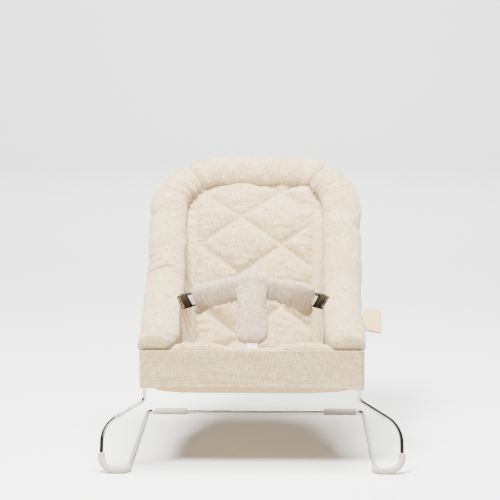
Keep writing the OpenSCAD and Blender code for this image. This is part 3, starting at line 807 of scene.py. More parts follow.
@dataclass
class Bolster:
    """The padded roll round the seat: two side sections and a top one, sewn together at slanted seams."""

    profile: Profile
    cols: int = 64
    ring_step: float = 3.5 * MM
    power: float = 2.3
    seam_at: tuple[float, float] = (-121 * MM, 124 * MM)
    seam_lean: tuple[float, float] = (6.0, -3.0)
    end_round: float = 11 * MM
    pinch: float = 0.075

    def build(self) -> None:
        """Makes the three sections and dresses them."""
        self.route = self.profile.hoop()
        x = self.route.pos[:, 0]
        top = np.abs(self.route.s - self.route.length / 2) < 190 * MM
        marks = [float(np.interp(at, x[top], self.route.s[top])) for at in self.seam_at]
        self.marks = marks
        self.section("bolster_left", 0.0, marks[0])
        self.section("bolster_top", marks[0], marks[1])
        self.section("bolster_right", marks[1], self.route.length)

    def outline(self, angle: np.ndarray) -> tuple[np.ndarray, np.ndarray]:
        """The section's unit outline: a soft, flattened round; x is towards the middle of the seat."""
        c, s = np.cos(angle), np.sin(angle)
        return np.sign(c) * np.abs(c) ** (2 / self.power), np.sign(s) * np.abs(s) ** (2 / self.power)

    def section(self, name: str, start: float, end: float) -> None:
        """Makes one sewn section between two places along the roll.

        Args:
            name: The piece's name.
            start: Where it starts along the roll.
            end: Where it ends.
        """
        prof, route = self.profile, self.route
        rows = int((end - start) / self.ring_step)
        s = np.linspace(start, end, rows)
        angle = np.linspace(0, 2 * math.pi, self.cols, endpoint=False)
        qx, qy = self.outline(angle)
        grid_s = np.repeat(s[:, None], self.cols, axis=1)
        lean = np.zeros_like(s)
        for mark, degrees in zip(self.marks, self.seam_lean):
            away = 1 - ease(np.abs(s - mark) / (95 * MM))
            turn = -1 if mark == self.marks[0] else 1
            lean += turn * math.tan(math.radians(degrees)) * away
        wide, thick, shift = self.widths(s)
        grid_s = grid_s + lean[:, None] * qx[None, :] * prof.bolster_w / 2
        pos, side, up = route.at(grid_s)
        puff = self.creases(name, grid_s, angle, qx, qy)
        ax = (wide[:, None] / 2 + puff) * qx[None, :] + shift[:, None]
        ay = (thick[:, None] / 2 + puff) * qy[None, :]
        p = pos + side * ax[..., None] + up * ay[..., None]
        outward = unit(side * qx[None, :, None] + up * qy[None, :, None])
        p += outward * (rumple(p, 55 * MM, 3.0) * 1.1 * MM)[..., None]
        oval = np.stack([qx * prof.bolster_w, qy * prof.bolster_t], 1) / 2
        ring = np.linalg.norm(np.diff(oval, axis=0), axis=1)
        u = np.concatenate([[0], np.cumsum(ring)])
        made = tube(name, p, u, s, float(u[-1] + ring[0]), Stuff.LINEN)
        held = np.zeros((rows, self.cols))
        held[[0, 1, -2, -1], :] = 1
        inner = np.abs(np.angle(np.exp(1j * (angle + math.radians(28)))))
        held[:, inner < 2.2 * math.pi / self.cols] = 1
        settle(made, held.ravel(), 3.2, 0.028, 5 * MM)
        if name == "bolster_top":
            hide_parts("top_bolster")
            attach(made, "backrest")
            self.seams(p)
        else:
            which = name.split("_")[1]
            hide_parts(f"lower_bolster_{which}", f"upper_bolster_{which}")
            prof.cross(made)
        LOG.info("%s: %d rings", name, rows)

    def seams(self, p: np.ndarray) -> None:
        """Lays the sewing thread in the two slanted seams of the top section."""
        rings = [np.concatenate([p[i], p[i][:1]]) for i in (0, -1)]
        made = stitches("bolster_seam_thread", rings, 3.5 * MM, 2.4 * MM, 0.7 * MM)
        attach(made, "backrest")

    def widths(self, s: np.ndarray) -> tuple[np.ndarray, np.ndarray, np.ndarray]:
        """Width, thickness and inward shift of the roll at distances s along it."""
        prof = self.profile
        total = self.route.length
        end = np.minimum(s, total - s)
        taper = 1 - ease(end / (34 * MM))
        wide = prof.bolster_w - 13 * MM * taper
        shift = -5.5 * MM * taper
        cap = np.clip(1 - end / self.end_round, 0, 1)
        inset = 2 * self.end_round * (1 - np.sqrt(1 - cap ** 2 * 0.985))
        wide, thick = wide - inset, prof.bolster_t - inset
        for mark in self.marks:
            groove = 1 - self.pinch * 2 * np.exp(-np.abs(s - mark) / (3 * MM))
            groove -= self.pinch * np.exp(-np.abs(s - mark) / (14 * MM))
            wide, thick = wide * groove, thick * groove
        return wide, thick, shift

    def creases(self, name: str, s: np.ndarray, angle: np.ndarray, qx: np.ndarray,
                qy: np.ndarray) -> np.ndarray:
        """Folds and gathers in the roll's cover, as a height at each point.

        Args:
            name: The section, as each has its own folds.
            s: Distance along the roll, rings by points.
            angle: Angle round the section.
            qx: The outline's x, towards the seat.
            qy: The outline's y, upwards.

        Returns:
            Height in metres, rings by points.
        """
        seed = {"bolster_left": 1.3, "bolster_top": 4.1, "bolster_right": 8.6}[name]
        inner = np.clip(qx, 0, 1)[None, :] ** 2
        total = self.route.length
        out = 1.7 * MM * inner * gathers(s + 6 * MM * qy[None, :], 10 * MM, seed)
        for mark, way in zip(self.marks, (-1, 1)):
            away = (s - mark) * way
            near = ease(away / (8 * MM)) * (1 - ease((away - 25 * MM) / (100 * MM)))
            reach = np.clip(qx * 0.85 + 0.3, 0, 1)[None, :] ** 1.2
            out += 5.2 * MM * near * reach * gathers(s, 19 * MM, seed + 2)
        wide_folds = rumple(np.stack([s, 0 * s + angle[None, :] * 0.02, 0 * s + seed], -1), 34 * MM, seed)
        out += (1.6 if name == "bolster_top" else 2.2) * MM * wide_folds
        if name == "bolster_top":
            out += 1.5 * MM * gathers(s, 27 * MM, 3.0) * np.clip(0.7 + 0.5 * qx, 0, 1)[None, :]
        if name == "bolster_left":
            for k, place in enumerate((262, 283, 303, 318)):
                dent = np.exp(-((s - place * MM - 5 * MM * qy[None, :]) / (3.2 * MM)) ** 2)
                out -= (2.9 - 0.4 * k) * MM * dent * np.clip(0.6 - qx, 0, 1)[None, :]
        if name == "bolster_right":
            for place in (150, 175):
                dent = np.exp(-((total - s - place * MM - 6 * MM * qy[None, :]) / (3.5 * MM)) ** 2)
                out -= 2.0 * MM * dent * np.clip(0.3 - qx, 0, 1)[None, :]
        near_end = np.minimum(s, total - s)
        round_it = gathers(angle[None, :] * 30 * MM + 0 * s, 13 * MM, seed)
        out += 0.9 * MM * np.exp(-near_end / (28 * MM)) * round_it
        return out


@dataclass
class Quilt:
    """The quilted panel of the sling: diamonds stitched through wadding, with a stitched border."""

    profile: Profile
    step: float = 3 * MM
    under: float = 5.5 * MM
    puff: float = 10 * MM
    diamond: tuple[float, float] = (79 * MM, 65 * MM)
    shift: tuple[float, float] = (-26.5 * MM, 30 * MM)

    def build(self) -> None:
        """Makes the panel and its stitching."""
        prof = self.profile
        line = prof.sling()
        self.route = Route(line, (1, 0, 0), 1.5 * MM)
        rows = int(self.route.length / self.step)
        self.s = np.linspace(0, self.route.length, rows)
        cols = int(2 * prof.panel_x / self.step)
        self.x = np.linspace(-prof.panel_x, prof.panel_x, cols)
        gx, gs = np.meshgrid(self.x, self.s)
        base = self.surface(gx, gs, 0)
        height = self.height(gx, gs)
        out = self.facing(gs)
        top = base + out * height[..., None]
        border = np.minimum(np.minimum(gs, self.route.length - gs), prof.panel_x - np.abs(gx))
        low = base - out * (self.under + 1.5 * MM * ease(border / (9 * MM)))[..., None]
        # The panel's underside takes the lining finish, whose tan is painted shade.
        made = shell("quilted_panel", top, low, np.stack([gx, gs], -1), Stuff.LINEN, Stuff.LINING_PAINTED_SHADE)
        sewn = (self.from_line(gx, gs) < 1.6 * MM) | (border < 2 * MM)
        held = np.concatenate([sewn.ravel(), np.ones(gx.size, bool)])
        settle(made, held.astype(float), 3.0, 0.03, 4 * MM, 18)
        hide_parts("seat_panel", "back_panel")
        prof.cross(made)
        self.thread()
        LOG.info("quilted_panel: %d by %d", rows, cols)

    def facing(self, s: np.ndarray) -> np.ndarray:
        """The direction that the sitter's side of the sling faces at distances s."""
        return self.route.at(s)[1]

    def surface(self, x: np.ndarray, s: np.ndarray, lift: float | np.ndarray) -> np.ndarray:
        """A point on the sling, x across, s down it and lifted towards the sitter."""
        pos, side, _ = self.route.at(s)
        out = pos + side * (0 * x + lift)[..., None]
        out[..., 0] = x
        return out

    def from_line(self, x: np.ndarray, s: np.ndarray) -> np.ndarray:
        """Distance from the nearest quilting line."""
        dx, ds = self.diamond
        a = (x - self.shift[0]) / dx
        b = (s - self.shift[1]) / ds
        scale = 1 / math.hypot(1 / dx, 1 / ds)
        gaps = [np.abs((q - 1) / 2 - np.round((q - 1) / 2)) * 2 * scale for q in (a - b, a + b)]
        return np.minimum(gaps[0], gaps[1])

    def height(self, x: np.ndarray, s: np.ndarray) -> np.ndarray:
        """How far the wadding stands up: full inside the diamonds, drawn in at the sewing."""
        near = self.from_line(x, s)
        border = np.minimum(np.minimum(s, self.route.length - s), self.profile.panel_x - np.abs(x))
        soft = 1 - np.exp(-near / (9 * MM))
        edge = 1 - np.exp(-border / (7 * MM))
        points = np.stack([x, s, 0 * x], -1)
        pucker = 2.2 * gathers(x + 0.6 * s, 9 * MM, 2.2)
        pucker = pucker * np.exp(-near / (7 * MM)) * np.clip(near / (2 * MM), 0, 1)
        side = gathers(s, 12 * MM, 5.0) * np.exp(-border / (14 * MM)) * np.clip(border / (3 * MM), 0, 1)
        lumps = rumple(points, 42 * MM, 6.0)
        wrinkle = rumple(points * np.array([1.0, 2.4, 1.0]), 30 * MM, 11.0)
        flat = self.puff * soft * edge - 2.5 * MM
        return flat + (0.5 * pucker + 1.3 * side + 2.0 * lumps * soft + 2.2 * wrinkle * soft) * MM

    def lines(self) -> list[np.ndarray]:
        """The quilting lines inside the border, each as x and s along it."""
        dx, ds = self.diamond
        out = []
        span = self.profile.panel_x - 1.5 * MM
        for sign in (1, -1):
            for odd in range(-21, 22, 2):
                x = np.linspace(-span, span, 120)
                b = sign * (odd - (x - self.shift[0]) / dx)
                s = self.shift[1] + b * ds
                inside = (s > 3 * MM) & (s < self.route.length - 3 * MM)
                if inside.sum() > 3:
                    out.append(np.stack([x[inside], s[inside]], 1))
        return out

    def thread(self) -> None:
        """Lays the quilting and border stitches on the panel."""
        laid = []
        span = self.profile.panel_x - 3.5 * MM
        borders = [np.stack([np.full_like(self.s, side * span), self.s], 1) for side in (-1, 1)]
        for line in self.lines() + borders:
            x, s = line[:, 0], line[:, 1]
            laid.append(self.surface(x, s, self.height(x, s) + 0.15 * MM))
        made = stitches("quilting_thread", laid, 4.2 * MM, 3.0 * MM, 0.7 * MM)
        self.profile.cross(made)


@dataclass
class Sides:
    """The side gussets of the sling and the lining under and behind it, coloured tan as painted shade on a
    cream lining.
    """

    profile: Profile
    quilt: Quilt

    def roll_at(self, s: np.ndarray) -> np.ndarray:
        """Where along the bolster, from the hub, the sling's place s is sewn; back is positive."""
        total = self.quilt.route.length
        front = self.profile.rail_l - 6 * MM
        knots = [0, 112 * MM, 366 * MM, total]
        return np.interp(s, knots, [285 * MM, 175 * MM, 0, -front])

    def seam(self, s: np.ndarray, inward: float, down: float) -> np.ndarray:
        """A point on the right bolster at the sling's place s.

        Args:
            s: Distances down the sling.
            inward: How far towards the middle of the seat from the roll's centre.
            down: How far below the roll's middle plane.

        Returns:
            The points.
        """
        prof = self.profile
        along = self.roll_at(s)
        bend = ease((along + 40 * MM) / (80 * MM))[..., None]
        direction = np.where(along[..., None] > 0, prof.back_dir, prof.rail_dir)
        up = unit(prof.rail_up * (1 - bend) + prof.back_up * bend)
        at = prof.hub + direction * along[..., None] - up * down
        at[..., 0] = prof.roll_x(along) - inward
        return at

    def gusset(self, which: str) -> None:
        """Makes the gathered side wall between the panel and the bolster.

        Args:
            which: left or right.
        """
        prof, route = self.profile, self.quilt.route
        rows, cols = int(route.length / (3 * MM)), 34
        s = np.linspace(16 * MM, route.length, rows)
        t = np.linspace(0, 1, cols)
        low = self.quilt.surface(np.full_like(s, prof.panel_x - 1 * MM), s, np.zeros_like(s) - 1 * MM)
        taper = 1 - ease((route.length - s) / (40 * MM))
        high = self.seam(s, 32.5 * MM, 9 * MM)
        high[:, 0] = np.maximum(high[:, 0] + 9 * MM * taper, low[:, 0] + 1.5 * MM)
        p = low[:, None, :] * (1 - t)[None, :, None] + high[:, None, :] * t[None, :, None]
        depth = np.linalg.norm(high - low, axis=1)
        belly = np.sin(math.pi * t) ** 0.8
        fullness = np.clip(depth / (110 * MM), 0.12, 1)
        seed = 3.0 if which == "left" else 9.0
        fold = gathers(np.repeat(s[:, None], cols, 1) + 9 * MM * t[None, :], 24 * MM, seed)
        small = gathers(np.repeat(s[:, None], cols, 1), 11 * MM, seed + 1)
        spots = np.broadcast_arrays(s[:, None], (depth[:, None] * t[None, :]), 0 * s[:, None])
        crumple = rumple(np.stack(spots, -1), 26 * MM, seed)
        wave = 3.6 * fold * belly[None, :]
        wave = wave + 1.8 * small * np.exp(-((1 - t) / 0.16))[None, :] * np.clip((1 - t) * 12, 0, 1)[None, :]
        wave = (wave + 3.6 * crumple * belly[None, :]) * MM * (0.45 + 0.55 * fullness)[:, None]
        out = grid_normals(p)
        out *= np.sign(out[..., :1].mean())
        p = p + out * (belly[None, :] * 9 * MM * fullness[:, None] + wave)[..., None]
        if which == "left":
            p[..., 0] *= -1
        uv = np.stack(np.broadcast_arrays(s[:, None], 0.14 + depth[:, None] * t[None, :]), -1)
        made = slab(f"gusset_{which}", p, uv, 2.2 * MM, Stuff.LINEN)
        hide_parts(f"seat_gusset_{which}", f"back_gusset_{which}")
        prof.cross(made)

    def lining(self) -> None:
        """Makes the lining sheet under and behind the sling, from the band's hem to the top roll; its tan
        colour is painted shade and warm bounce light on a cream cloth.
        """
        prof, route = self.profile, self.quilt.route
        rows, cols = 150, 96
        s = np.linspace(0, route.length - 42 * MM, rows)
        turn = np.linspace(0, math.pi, cols)
        power = 2 / 14
        across = -np.sign(np.cos(turn)) * np.abs(np.cos(turn)) ** power
        drop = np.sin(turn) ** power
        edge = self.seam(s, 2 * MM, 20.5 * MM)
        mid, side, _ = route.at(s)
        mid = mid - side * (self.quilt.under + 4 * MM)
        front = ease(1 - (route.length - 42 * MM - s) / (120 * MM))
        hem = np.stack([0 * s, 0 * s + prof.facing_hi[1] - 1 * MM, 0 * s + prof.band_lo[2] + 4 * MM], 1)
        mid = mid * (1 - front)[:, None] + hem * front[:, None]
        edge = edge * (1 - front)[:, None] + (hem + [0, 0, 3 * MM]) * front[:, None]
        spread = ease((s - 330 * MM) / (90 * MM))
        half = prof.roll_x(self.roll_at(s)) - 2 * MM + spread * 20 * MM + front * 6 * MM
        p = np.zeros((rows, cols, 3))
        p[..., 0] = across[None, :] * half[:, None]
        for k in (1, 2):
            p[..., k] = edge[:, None, k] * (1 - drop)[None, :] + mid[:, None, k] * drop[None, :]
        sag = np.sin(np.clip(front, 0, 1) * math.pi) ** 0.8
        dip = (0.7 - 0.3 * np.cos(2 * math.pi * across)) * (1 - across ** 8)
        pucker = 2.2 * MM * np.exp(-((across * 0.19 + 0.006) / 0.012) ** 2)
        p[..., 2] -= sag[:, None] * (dip * 6 * MM - pucker)[None, :]
        p[..., 2] += rumple(p, 60 * MM, 2.0) * 1.6 * MM * np.clip(1.2 - front, 0, 1)[:, None]
        girth = np.concatenate([[0], np.cumsum(np.linalg.norm(np.diff(p[rows // 2], axis=0), axis=1))])
        uv = np.stack(np.broadcast_arrays(girth[None, :], s[:, None]), -1)
        made = slab("sling_lining", p, uv, 1.6 * MM, Stuff.LINING_PAINTED_SHADE)
        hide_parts("seat_lining", "back_lining")
        prof.cross(made)


@dataclass
class Band:
    """The front band: a flat sleeve of linen round the two risers, hemmed above and below."""

    profile: Profile
    wall: float = 1.8 * MM
    hem_up: float = 6 * MM

    def build(self) -> None:
        """Makes the band, its hem stitches and the ruffled front edge of the sling."""
        prof = self.profile
        lo, hi = prof.band_lo, prof.band_hi
        back_y = prof.facing_hi[1]
        half, front_y = hi[0], lo[1]
        r = (back_y - front_y) / 2
        flat = half - r
        pts = []
        count = 150
        for x in np.linspace(-flat, flat, count):
            pts.append((x, front_y, 0.0))
        for a in np.linspace(-math.pi / 2, math.pi / 2, 14)[1:-1]:
            pts.append((flat + r * math.cos(a), (front_y + back_y) / 2 + r * math.sin(a), 0.0))
        for x in np.linspace(flat, -flat, count):
            pts.append((x, back_y, 0.0))
        for a in np.linspace(math.pi / 2, 3 * math.pi / 2, 14)[1:-1]:
            pts.append((-flat + r * math.cos(a), (front_y + back_y) / 2 + r * math.sin(a), 0.0))
        ring = np.array(pts)
        gaps = np.linalg.norm(np.diff(np.concatenate([ring, ring[:1]]), axis=0), axis=1)
        run = np.concatenate([[0], np.cumsum(gaps)])[:-1]
        girth = float(gaps.sum())
        height = hi[2] - lo[2]
        rows = 42
        v = np.linspace(0, 1, rows)
        x, y = ring[:, 0], ring[:, 1]
        arch = 3.6 * MM * (1 - (x / half) ** 2)
        slope = -1.0 * MM * (x / half)
        behind = ease((y - front_y) / (back_y - front_y))
        tall = height - 15 * MM * behind
        z = lo[2] + v[:, None] * tall[None, :] + (arch + slope)[None, :] * (1 - v)[:, None] ** 1.5
        p = np.stack(np.broadcast_arrays(x[None, :], y[None, :], z), -1).copy()
        out = np.stack([0 * x, np.where(y < (front_y + back_y) / 2, -1.0, 1.0), 0 * x], 1)
        face = (y < front_y + r * 0.5).astype(float)
        centre = np.exp(-((x - 8 * MM) / (75 * MM)) ** 2)[None, :] * np.exp(-((v - 0.3) / 0.3) ** 2)[:, None]
        ripple = 1.9 * gathers(z + 0.10 * x[None, :], 19 * MM, 4.0) * centre
        ripple += 1.2 * gathers(z * 0.6 + 0.03 * x[None, :], 30 * MM, 4.0) * rumple(p, 70 * MM, 5.0)
        hem_pull = 0.9 * gathers(x[None, :] + 0 * z, 8 * MM, 1.0) * np.exp(-((v - 0.08) / 0.07) ** 2)[:, None]
        soft = 2.2 * rumple(p * np.array([0.5, 1, 1.9]), 38 * MM, 8.0)
        top_pull = 0.5 * gathers(x[None, :] + 0 * z, 12 * MM, 6.0)
        top_pull = top_pull * np.exp(-((v - 0.96) / 0.06) ** 2)[:, None]
        up = z - lo[2] - (arch + slope)[None, :]
        groove = -1.3 * np.exp(-((up - self.hem_up) / (1.2 * MM)) ** 2)
        groove = groove + 0.7 * (1 - ease((up - 3 * MM) / (3 * MM)))
        relief = (ripple + hem_pull + soft + top_pull + groove) * MM * (0.25 + 0.75 * face)[None, :]
        p += out[None] * relief[..., None]
        p[..., 1] += 1.2 * MM * np.sign(out[None, :, 1]) * -1
        made = self.loop("front_band_cover", p, run, z, girth)
        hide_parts("front_band", "band_facing")
        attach(made, "seat")
        rows_at = [self.hem_up, self.hem_up + 3.2 * MM]
        lines = []
        front = np.nonzero(y < front_y + 0.3 * MM)[0]
        for up in rows_at:
            pick = [int(np.argmin(np.abs(z[:, j] - z[0, j] - up))) for j in front]
            lines.append(np.array([p[i, j] - [0, self.wall / 2 + 0.1 * MM, 0] for i, j in zip(pick, front)]))
        thread = stitches("band_hem_thread", lines, 3.6 * MM, 2.5 * MM, 0.7 * MM)
        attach(thread, "seat")
        self.ruffle()
        LOG.info("front_band_cover: girth %.3f m", girth)

    def loop(self, name: str, p: np.ndarray, run: np.ndarray, z: np.ndarray,
             girth: float) -> bpy.types.Object:
        """A closed sleeve with a wall, from rings of points."""
        rows, cols = p.shape[:2]
        lift = grid_normals(p, ring=True) * self.wall / 2
        verts = np.concatenate([(p + lift).reshape(-1, 3), (p - lift).reshape(-1, 3)])
        total = rows * cols
        faces = grid_faces(rows, cols, ring=True) + grid_faces(rows, cols, start=total, ring=True, flip=True)
        for j in range(cols):
            k = (j + 1) % cols
            faces.append((j, j + total, k + total, k))
            a, b = (rows - 1) * cols + j, (rows - 1) * cols + k
            faces.append((a, b, b + total, a + total))
        uv = np.stack(np.broadcast_arrays(run[None, :], z), -1).reshape(-1, 2)
        made = make_mesh(name, verts, faces, corner_uvs(faces, np.concatenate([uv, uv]), girth), Stuff.LINEN)
        turn_out(made)
        return made

    def ruffle(self) -> None:
        """Makes the gathered front wall of the pocket, which rises above the band at each side."""
        prof = self.profile
        half = prof.bolster_x - 19 * MM
        cols, rows = 150, 30
        x = np.linspace(-half, half, cols)
        t = np.linspace(0, 1, rows)
        top_z, band_y = prof.band_hi[2], prof.facing_hi[1]
        swell = ease((np.abs(x) - 38 * MM) / (40 * MM))
        swell = swell * (1 - 0.55 * ease((np.abs(x) - 118 * MM) / (26 * MM)))
        crest = 11 * MM * swell * (1 + 0.25 * gathers(x, 34 * MM, 2.0)) + 1.5 * MM
        start = np.array([prof.riser[1] + 24 * MM, prof.riser[2] - 32 * MM])
        peak_y = band_y + 10 * MM
        y = np.zeros((rows, cols))
        z = np.zeros((rows, cols))
        for j in range(cols):
            line = np.array([[start[0], start[1]], [peak_y + 6 * MM, top_z - 12 * MM],
                             [peak_y + 1 * MM, top_z + crest[j]], [band_y - 1 * MM, top_z + crest[j] * 0.55],
                             [band_y - 5 * MM, top_z - 3 * MM]])
            for _ in range(2):
                cut = [line[0]]
                for a, b in zip(line[:-1], line[1:]):
                    cut += [a * 0.75 + b * 0.25, a * 0.25 + b * 0.75]
                line = np.array(cut + [line[-1]])
            marks = np.linspace(0, 1, len(line))
            y[:, j], z[:, j] = np.interp(t, marks, line[:, 0]), np.interp(t, marks, line[:, 1])
        wave = gathers(np.repeat(x[None, :], rows, 0) + 6 * MM * t[:, None], 17 * MM, 7.0)
        z += wave * 1.6 * MM * np.sin(math.pi * t)[:, None] * (0.3 + 0.7 * swell)[None, :]
        y += gathers(np.repeat(x[None, :], rows, 0), 23 * MM, 3.0) * 1.8 * MM * np.sin(math.pi * t)[:, None]
        p = np.stack([np.repeat(x[None, :], rows, 0), y, z], -1)
        length = np.linalg.norm(np.diff(p[:, cols // 2], axis=0), axis=1).sum()
        uv = np.stack(np.broadcast_arrays(x[None, :], 0.7 + t[:, None] * length), -1)
        made = slab("pocket_front_edge", p, uv, 2 * MM, Stuff.LINEN)
        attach(made, "seat")


@dataclass
class Harness:
    """The T-shaped padded harness, its buckles and its webbing."""

    profile: Profile
    arm_w: float = 47 * MM
    arm_t: float = 25 * MM
    socket_l: float = 27.5 * MM

    def __post_init__(self) -> None:
        """Reads where the buckles lie from the frame."""
        self.lie = {}
        for side in SIDES:
            joint = next(j for j in FRAME["joints"] if j["name"] == f"buckle_{side}")
            out = -np.array(joint["axis"], float)
            lo, hi = (np.array(c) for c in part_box(f"buckle_socket_{side}"))
            self.lie[side] = ((lo + hi) / 2, unit(out))

    def mouth(self, side: str) -> tuple[np.ndarray, np.ndarray]:
        """The middle of a buckle socket's mouth, and the direction out along the waist strap."""
        centre, out = self.lie[side]
        return centre - out * self.socket_l / 2, out

    def strap_up(self, side: str) -> np.ndarray:
        """The direction across the webbing, upwards."""
        sign = 1 if side == "right" else -1
        turn = [math.radians(a) for a in (25, 15, 51)]
        a = np.array([math.sin(turn[1]) * math.cos(turn[2]), math.sin(turn[1]) * math.sin(turn[2]),
                      math.cos(turn[1])])
        b = np.array([math.sin(turn[2]), -math.cos(turn[2]), 0])
        up = a * math.cos(turn[0]) + b * math.sin(turn[0])
        return up * [sign, 1, 1]

    def build(self) -> None:
        """Makes the pad, the buckles and the straps."""
        prof = self.profile
        self.crown = np.array([0, prof.riser[1] + 66 * MM, prof.riser[2] + 104 * MM])
        self.foot = np.array([0, prof.riser[1] + 15 * MM, prof.riser[2] + 6 * MM])
        self.pad()
        for side in SIDES:
            self.buckle(side)
        self.webbing()
        LOG.info("harness: two arms, one leg")

    def arm_route(self, side: str) -> Route:
        """The arm's centre line, from its buckle end to the crown."""
        mouth, out = self.mouth(side)
        points = [mouth - out * 24 * MM, mouth - out * 68 * MM, self.crown]
        return Route(rounded(points, [0, 55 * MM, 0]), self.strap_up(side))

    def pad(self) -> None:
        """Makes the stuffed T: two arms and a leg fused, swollen and gathered."""
        parts = []
        for side in SIDES:
            route = self.arm_route(side)
            s = np.linspace(0, route.length, 60)
            near = np.clip(s / (14 * MM), 0, 1)
            close = np.sqrt(1 - (1 - near) ** 2 * 0.75)
            parts.append(self.stuffed(route, s, self.arm_w * close, self.arm_t * close, f"{side}_arm"))
            pos, _, up = route.at(np.array([0.0, 30 * MM]))
            low = Route(np.stack([pos[0] - route.ahead[0] * 5 * MM - np.array([0, 0, 25 * MM]),
                                  pos[1] - up[1] * 13 * MM]), up[0], 1 * MM)
            run = np.linspace(0, low.length, 30)
            tip = np.sqrt(1 - (1 - np.clip(run / (9 * MM), 0, 1)) ** 2 * 0.9)
            parts.append(self.stuffed(low, run, 20 * MM * tip, 13 * MM * tip, f"{side}_tab"))
        leg = Route(rounded([self.crown + [0, 10 * MM, 26 * MM], self.crown - [0, 8 * MM, 14 * MM],
                             self.foot + [0, 2 * MM, -2 * MM]], [0, 30 * MM, 0]), (0, -1, 0.4))
        s = np.linspace(0, leg.length, 50)
        t = s / leg.length
        wide = np.interp(t, [0, 0.12, 0.3, 0.5, 0.8, 1], [50, 54, 60, 55, 60, 56]) * MM
        end = np.clip((leg.length - s) / (16 * MM), 0, 1)
        top = np.clip(s / (14 * MM), 0, 1)
        close = np.sqrt(1 - (1 - end) ** 2 * 0.8) * np.sqrt(1 - (1 - top) ** 2 * 0.8)
        parts.append(self.stuffed(leg, s, self.arm_t * 1.0 * close, wide * close, "leg"))
        bpy.ops.object.select_all(action="DESELECT")
        for part in parts:
            part.select_set(True)
        bpy.context.view_layer.objects.active = parts[0]
        bpy.ops.object.join()
        made = bpy.context.view_layer.objects.active
        made.name = "harness_cover"
        made.data.name = "harness_cover"
        remesh = made.modifiers.new("remesh", "REMESH")
        remesh.mode, remesh.voxel_size = "VOXEL", 2.6 * MM
        soften = made.modifiers.new("soften", "SMOOTH")
        soften.factor, soften.iterations = 0.6, 9
        seen = made.evaluated_get(bpy.context.evaluated_depsgraph_get())
        mesh = bpy.data.meshes.new_from_object(seen)
        made.modifiers.clear()
        made.data = mesh
        mesh.materials.clear()
        mesh.materials.append(finish_of(Stuff.PAD_LINEN))
        co = np.array([v.co for v in mesh.vertices])
        settle(made, np.zeros(len(co)), 3.0, 0.02, 4 * MM, 14)
        self.fold(made)
        self.flat_uv(made)
        mesh.polygons.foreach_set("use_smooth", [True] * len(mesh.polygons))
        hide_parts("harness_pad")
        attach(made, "seat")

    def stuffed(self, route: Route, s: np.ndarray, tall: np.ndarray, deep: np.ndarray,
                name: str) -> bpy.types.Object:
        """A stuffed roll along a route, as rings of a soft rectangle."""
        angle = np.linspace(0, 2 * math.pi, 36, endpoint=False)
        power = 2 / 2.7
        c, q = np.cos(angle), np.sin(angle)
        cx, cy = np.sign(c) * np.abs(c) ** power, np.sign(q) * np.abs(q) ** power
        pos, side, up = route.at(s)
        p = (pos[:, None] + side[:, None] * (deep[:, None] / 2 * cx[None, :])[..., None]
             + up[:, None] * (tall[:, None] / 2 * cy[None, :])[..., None])
        return tube(name, p, np.linspace(0, 0.1, 36), s, 0.1, Stuff.PAD_LINEN)

    def fold(self, made: bpy.types.Object) -> None:
        """Presses the left arm's gathers, the right arm's wrap and the neck's pleats into the pad."""
        mesh = made.data
        co = np.array([v.co for v in mesh.vertices])
        out = np.array([v.normal for v in mesh.vertices])
        move = rumple(co, 24 * MM, 1.0) * 1.0 * MM
        for side in SIDES:
            route = self.arm_route(side)
            sign = 1 if side == "right" else -1
            best = np.argmin(np.linalg.norm(co[:, None, :] - route.pos[None, ::6], axis=2), axis=1) * 6
            s = route.s[np.minimum(best, len(route.s) - 1)]
            best = np.minimum(best, len(route.s) - 1)
            local = co - route.pos[best]
            s = s + np.sum(local * route.ahead[best], axis=1)
            height = np.sum(local * route.up[best], axis=1)
            on = (ease((co[:, 0] * sign - 18 * MM) / (14 * MM)))
            if side == "left":
                ridge = gathers(s + 0.12 * height, 9.5 * MM, 5.0) * 2.3 * MM
                move += on * ridge * ease((route.length - 20 * MM - s) / (20 * MM)) * ease(s / (8 * MM))
            else:
                edge = 58 * MM + 0.42 * height
                step = ease((edge - s) / (2.2 * MM))
                move += on * (step * 3.6 * MM - 1.2 * MM)
                for place, slope in ((76, 0.25), (90, -0.15)):
                    dent = np.exp(-((s - place * MM - slope * height) / (2.6 * MM)) ** 2)
                    move -= on * dent * 3.6 * MM * ease((18 * MM - height) / (30 * MM))
        neck = self.crown[2] - 40 * MM
        pleat = np.exp(-((co[:, 2] - neck) / (11 * MM)) ** 2)
        pleat = pleat * np.exp(-((np.abs(co[:, 0]) - 27 * MM) / (12 * MM)) ** 2)
        move += pleat * gathers(co[:, 2] + 0.5 * np.abs(co[:, 0]), 8 * MM, 2.0) * 2.2 * MM
        co += out * move[:, None]
        mesh.vertices.foreach_set("co", co.astype(np.float32).ravel())
        mesh.update()

    def flat_uv(self, made: bpy.types.Object) -> None:
        """Lays the weave on the pad by the direction that each face looks in, in metres."""
        mesh = made.data
        layer = mesh.uv_layers.new(name="cloth")
        co = np.array([v.co for v in mesh.vertices])
        for face in mesh.polygons:
            n = face.normal
            flat = abs(n.z) > max(abs(n.x), abs(n.y))
            for k in face.loop_indices:
                at = co[mesh.loops[k].vertex_index]
                layer.data[k].uv = (at[0], at[1] + 0.3) if flat else (
                    at[0] if abs(n.y) >= abs(n.x) else at[1] + 0.6, at[2])

